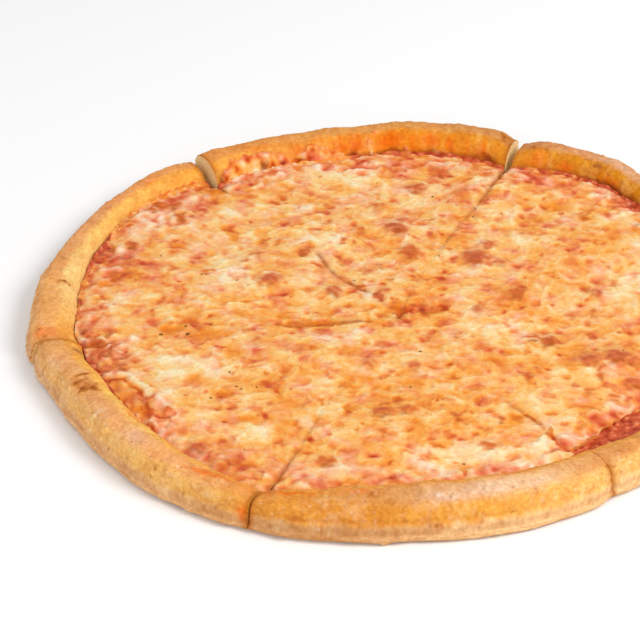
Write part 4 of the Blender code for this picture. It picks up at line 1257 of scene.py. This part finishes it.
def make_crust_piece(name):
    """Work out one slice's crust and build it."""
    share = np.linspace(0, 1, CRUST_ROWS)[:, None]
    outer, crest, width = (size[:, None] for size in rim_sizes(name, share[:, 0]))
    middle_angle, _, _ = directions(name, share, outer)
    along_rim = middle_angle * RIM_RADIUS
    from_drip = along_rim - np.radians(DRIP_DIRECTION) * RIM_RADIUS
    drip = np.exp(-(from_drip / DRIP_HALF_WIDTH) ** 2)
    ragged = 0.7 * cloud(along_rim, 0 * along_rim + 9.5, 6, 90) - 0.5 + 0.5 * drip
    rim_radius, rim_height = rim_line(outer, crest, width, RIM_TURNS[None, :])
    bulge = np.sin(np.pi * SKIRT_STEPS) ** 0.8
    skirt_radius = outer - SKIRT_PROUD + (SKIRT_PROUD + 0.3 + ragged) * bulge
    low = SKIRT_LOW + 0.5 * cloud(along_rim, 0 * along_rim + 4.5, 8, 96) - 1.2 * drip
    skirt_height = SKIRT_HIGH + (np.maximum(low, 0.1) - SKIRT_HIGH) * SKIRT_STEPS
    flat = FLAT_RINGS + 0 * outer
    radius = np.hstack((flat, rim_radius, skirt_radius))
    height = np.hstack((0 * flat + DOUGH_TOP, rim_height, skirt_height))
    turn = np.concatenate((0 * FLAT_RINGS, RIM_TURNS, 2 + SKIRT_STEPS))[None, :] + 0 * radius
    share = share + 0 * radius
    angle, from_first, from_second = directions(name, share, radius)
    top = np.stack((radius * np.cos(angle), radius * np.sin(angle), height), axis=-1)
    around = angle * RIM_RADIUS
    colour, wet, melted, brown = crust_paint(around, turn, (from_first, from_second))

    across = turn * TURN_LENGTH
    outside = smooth_step(1.0, 1.5, turn)
    folds = soft_noise(around, across * 0.18, 1.9, 92) + 0.7 * soft_noise(around, across * 0.3, 4, 93)
    relief = (0.6 * cloud(around, across, 15, 91, 2) + 0.34 * cloud(around, across, 4.5, 94)
              + 0.10 * soft_noise(around, across, 1.6, 126) + 0.20 * folds * outside - 0.35
              + melted + 0.3 * brown)
    lip = 1.95 + 0.05 * soft_noise(around, 0 * around, 7, 129)
    relief = relief + 0.5 * np.exp(-((turn - lip) / 0.06) ** 2)
    relief = relief - 0.4 * np.exp(-((turn - lip + 0.13) / 0.05) ** 2)
    away, large, _ = scattered(around, across, 9, 95, 0.4)
    relief = relief + 0.35 * smooth_step(1, 0, away / (1.2 + 2.2 * large))
    slope = np.cross(np.gradient(top, axis=1), np.gradient(top, axis=0))
    slope /= np.maximum(np.linalg.norm(slope, axis=-1, keepdims=True), 1e-9)
    strength = smooth_step(0.0, 0.25, turn) * smooth_step(3.0, 2.6, turn)
    top = top + slope * (relief * strength)[..., None]

    steps = np.linspace(0, 1, RIM_COLUMNS + len(SKIRT_STEPS))[None, :]
    under_radius = np.hstack((flat, outer - width + (width - SKIRT_PROUD) * steps))
    deep = np.clip((under_radius - (outer - CURL_WIDTH)) / (CURL_WIDTH - SKIRT_PROUD), 0, 1)
    under_angle, _, _ = directions(name, share, under_radius)
    under_x = under_radius * np.cos(under_angle)
    under_y = under_radius * np.sin(under_angle)
    edge_low = np.minimum(np.maximum(low, 0.1), SKIRT_LOW)
    under = np.stack((under_x, under_y, edge_low * deep ** 2.2), axis=-1)
    baked = 0.45 + 0.5 * cloud(under_x, under_y, 14, 97) + 0.3 * cloud(under_x, under_y, 4, 98)
    under_paint = ramp(baked, BAKED_UNDERSIDE)
    mesh = slab(f"baked_rim_{name}", top, under, CRUST_WALL,
                (colour, CUT_FACES[name], under_paint), wet)
    serve(mesh, crust_material, "crust", f"crust_{name}")


for name in SLICES:
    make_crust_piece(name)

# %% [markdown]
# ## Herb flecks
#
# Dried oregano lies in small curled flakes, one or two millimetres long, brown after baking. The
# ones that show are listed; a few more are strewn at random. Each flake is a bent strip of six
# points that lies on the cheese, and all of them are one piece.

# %% Herb flecks
LISTED_FLECKS = (
    (-87, -13, 2.2), (-98, -13, 1.8), (-88, -7, 1.4), (-78, -6, 1.4), (-69, -40, 1.2),
    (-66, -50, 1.2), (-64, -52, 1.0), (-58, -51, 1.0), (-76, -58, 1.2), (8, -26, 1.5),
)
STREWN_FLECKS = 16
STREWN_REACH = 112        # how far out from the crossing they lie, in mm
FLECK_OUTLINE = ((-0.5, -0.15, 0.0), (0.0, -0.28, 0.12), (0.5, -0.1, 0.05),
                 (0.45, 0.12, 0.05), (0.0, 0.26, 0.14), (-0.45, 0.14, 0.0))
FLECK_THICK = 0.18
FLECK_LIFT = 0.12         # how far its lowest point is above the cheese
FAR_FROM_EDGE = 50.0


def make_herbs():
    """Build the dried herb's nodes."""
    material, shader = new_material("dried_oregano")
    place = add_node(material, "TexCoord").outputs["Object"]
    vein = add_node(material, "TexNoise", {"Vector": place, "Scale": 1 / (0.8 * MM)})
    colour = add_node(material, "ValToRGB", {"Fac": vein.outputs["Fac"]}, stops=(
        (0.3, "5A3C18"), (0.7, "82602C")))
    material.node_tree.links.new(colour.outputs[0], shader.inputs["Base Color"])
    shader.inputs["Roughness"].default_value = 0.8
    shader.inputs["Specular IOR Level"].default_value = 0.05
    return material


def strew(rng, count):
    """Rows of x, y and length in mm for flecks strewn evenly over the cheese."""
    reach = STREWN_REACH * np.sqrt(rng.random(count))
    bearing = rng.random(count) * 2 * np.pi
    length = 0.6 + 0.7 * rng.random(count)
    return np.stack((reach * np.cos(bearing), reach * np.sin(bearing), length), axis=-1)


def fleck_tops(rng, flecks):
    """The upper points of every fleck, each turned at random and resting on the cheese."""
    turn = rng.random(len(flecks))[:, None] * 2 * np.pi
    along_it, across_it, rise = np.moveaxis(np.array(FLECK_OUTLINE) * flecks[:, None, 2:], -1, 0)
    x = flecks[:, None, 0] + along_it * np.cos(turn) - across_it * np.sin(turn)
    y = flecks[:, None, 1] + along_it * np.sin(turn) + across_it * np.cos(turn)
    to_edge = np.full(x.shape, FAR_FROM_EDGE)
    ground = cheese_height(x, y, cheese_fields(x, y, to_edge), to_edge, (), ())
    return np.stack((x, y, ground + FLECK_LIFT + rise), axis=-1)


def make_flecks():
    """Build all the herb flecks as one piece."""
    rng = np.random.default_rng(SEED * 3)
    flecks = np.vstack((LISTED_FLECKS, strew(rng, STREWN_FLECKS)))
    upper = fleck_tops(rng, flecks).reshape(-1, 3)
    lower = upper - np.array((0.0, 0.0, FLECK_THICK))
    corner = np.arange(len(upper)).reshape(len(flecks), -1)
    following = np.roll(corner, -1, axis=1)
    below = len(upper)
    sides = np.stack((corner + below, following + below, following, corner), axis=-1)
    faces = corner.tolist() + (corner[:, ::-1] + below).tolist() + sides.reshape(-1, 4).tolist()
    points = (np.vstack((upper, lower)) + np.array((*CROSSING, 0.0))) * MM
    mesh = bpy.data.meshes.new("herb_flecks")
    mesh.from_pydata(points.tolist(), [], faces)
    serve(mesh, make_herbs(), "crust")
    print(len(flecks), "flecks")


make_flecks()

# %% [markdown]
# ## Table, light and camera
#
# A wide white floor and soft studio light from above and from the right give the bright, even
# look of a catalogue picture. The camera looks down at 33.5 degrees with a long lens.

# %% Floor
FLOOR_HALF = 3.0          # metres


def make_floor():
    """A large pale plane under the pizza."""
    mesh = bpy.data.meshes.new("floor")
    corners = [(x * FLOOR_HALF, y * FLOOR_HALF, 0) for x, y in ((-1, -1), (1, -1), (1, 1), (-1, 1))]
    mesh.from_pydata(corners, [], [(0, 1, 2, 3)])
    material, shader = new_material("white_paper_sweep")
    shader.inputs["Base Color"].default_value = linear("FCFCFC")
    shader.inputs["Roughness"].default_value = 0.9
    mesh.materials.append(material)
    floor = bpy.data.objects.new("floor", mesh)
    bpy.context.scene.collection.objects.link(floor)


make_floor()

# %% Light
SKY_STRENGTH = 0.6


def soft_box(name, place, aim, size, power):
    """An area light at a place, turned to face a point, in metres and watts."""
    data = bpy.data.lights.new(name, "AREA")
    data.shape = "SQUARE"
    data.size = size
    data.energy = power
    lamp = bpy.data.objects.new(name, data)
    lamp.location = place
    lamp.rotation_euler = (Vector(place) - Vector(aim)).to_track_quat("Z", "Y").to_euler()
    bpy.context.scene.collection.objects.link(lamp)


soft_box("key", (1.0, -0.5, 1.1), (0, 0, 0), 0.7, 15)
soft_box("fill", (-0.9, -1.3, 0.8), (0, 0, 0), 1.2, 8)
world = bpy.data.worlds.new("studio")
world.use_nodes = True
sky = world.node_tree.nodes["Background"]
sky.inputs["Color"].default_value = (1.0, 1.0, 1.0, 1.0)
sky.inputs["Strength"].default_value = SKY_STRENGTH
bpy.context.scene.world = world
bpy.context.scene.view_settings.view_transform = "Standard"

# %% Camera
ELEVATION = np.radians(33.5)
DISTANCE = 1.098          # metres
AIM = np.array((-0.0318, 0.0028, 0.0))
FOCAL_LENGTH = 147.09     # mm
SENSOR_WIDTH = 36.0
lens = bpy.data.cameras.new("camera")
lens.lens = FOCAL_LENGTH
lens.sensor_width = SENSOR_WIDTH
camera = bpy.data.objects.new("camera", lens)
camera.location = AIM + DISTANCE * np.array((0, -np.cos(ELEVATION), np.sin(ELEVATION)))
camera.rotation_euler = (np.pi / 2 - ELEVATION, 0.0, 0.0)
bpy.context.scene.collection.objects.link(camera)
bpy.context.scene.camera = camera
print("camera at", [round(float(v), 3) for v in camera.location])
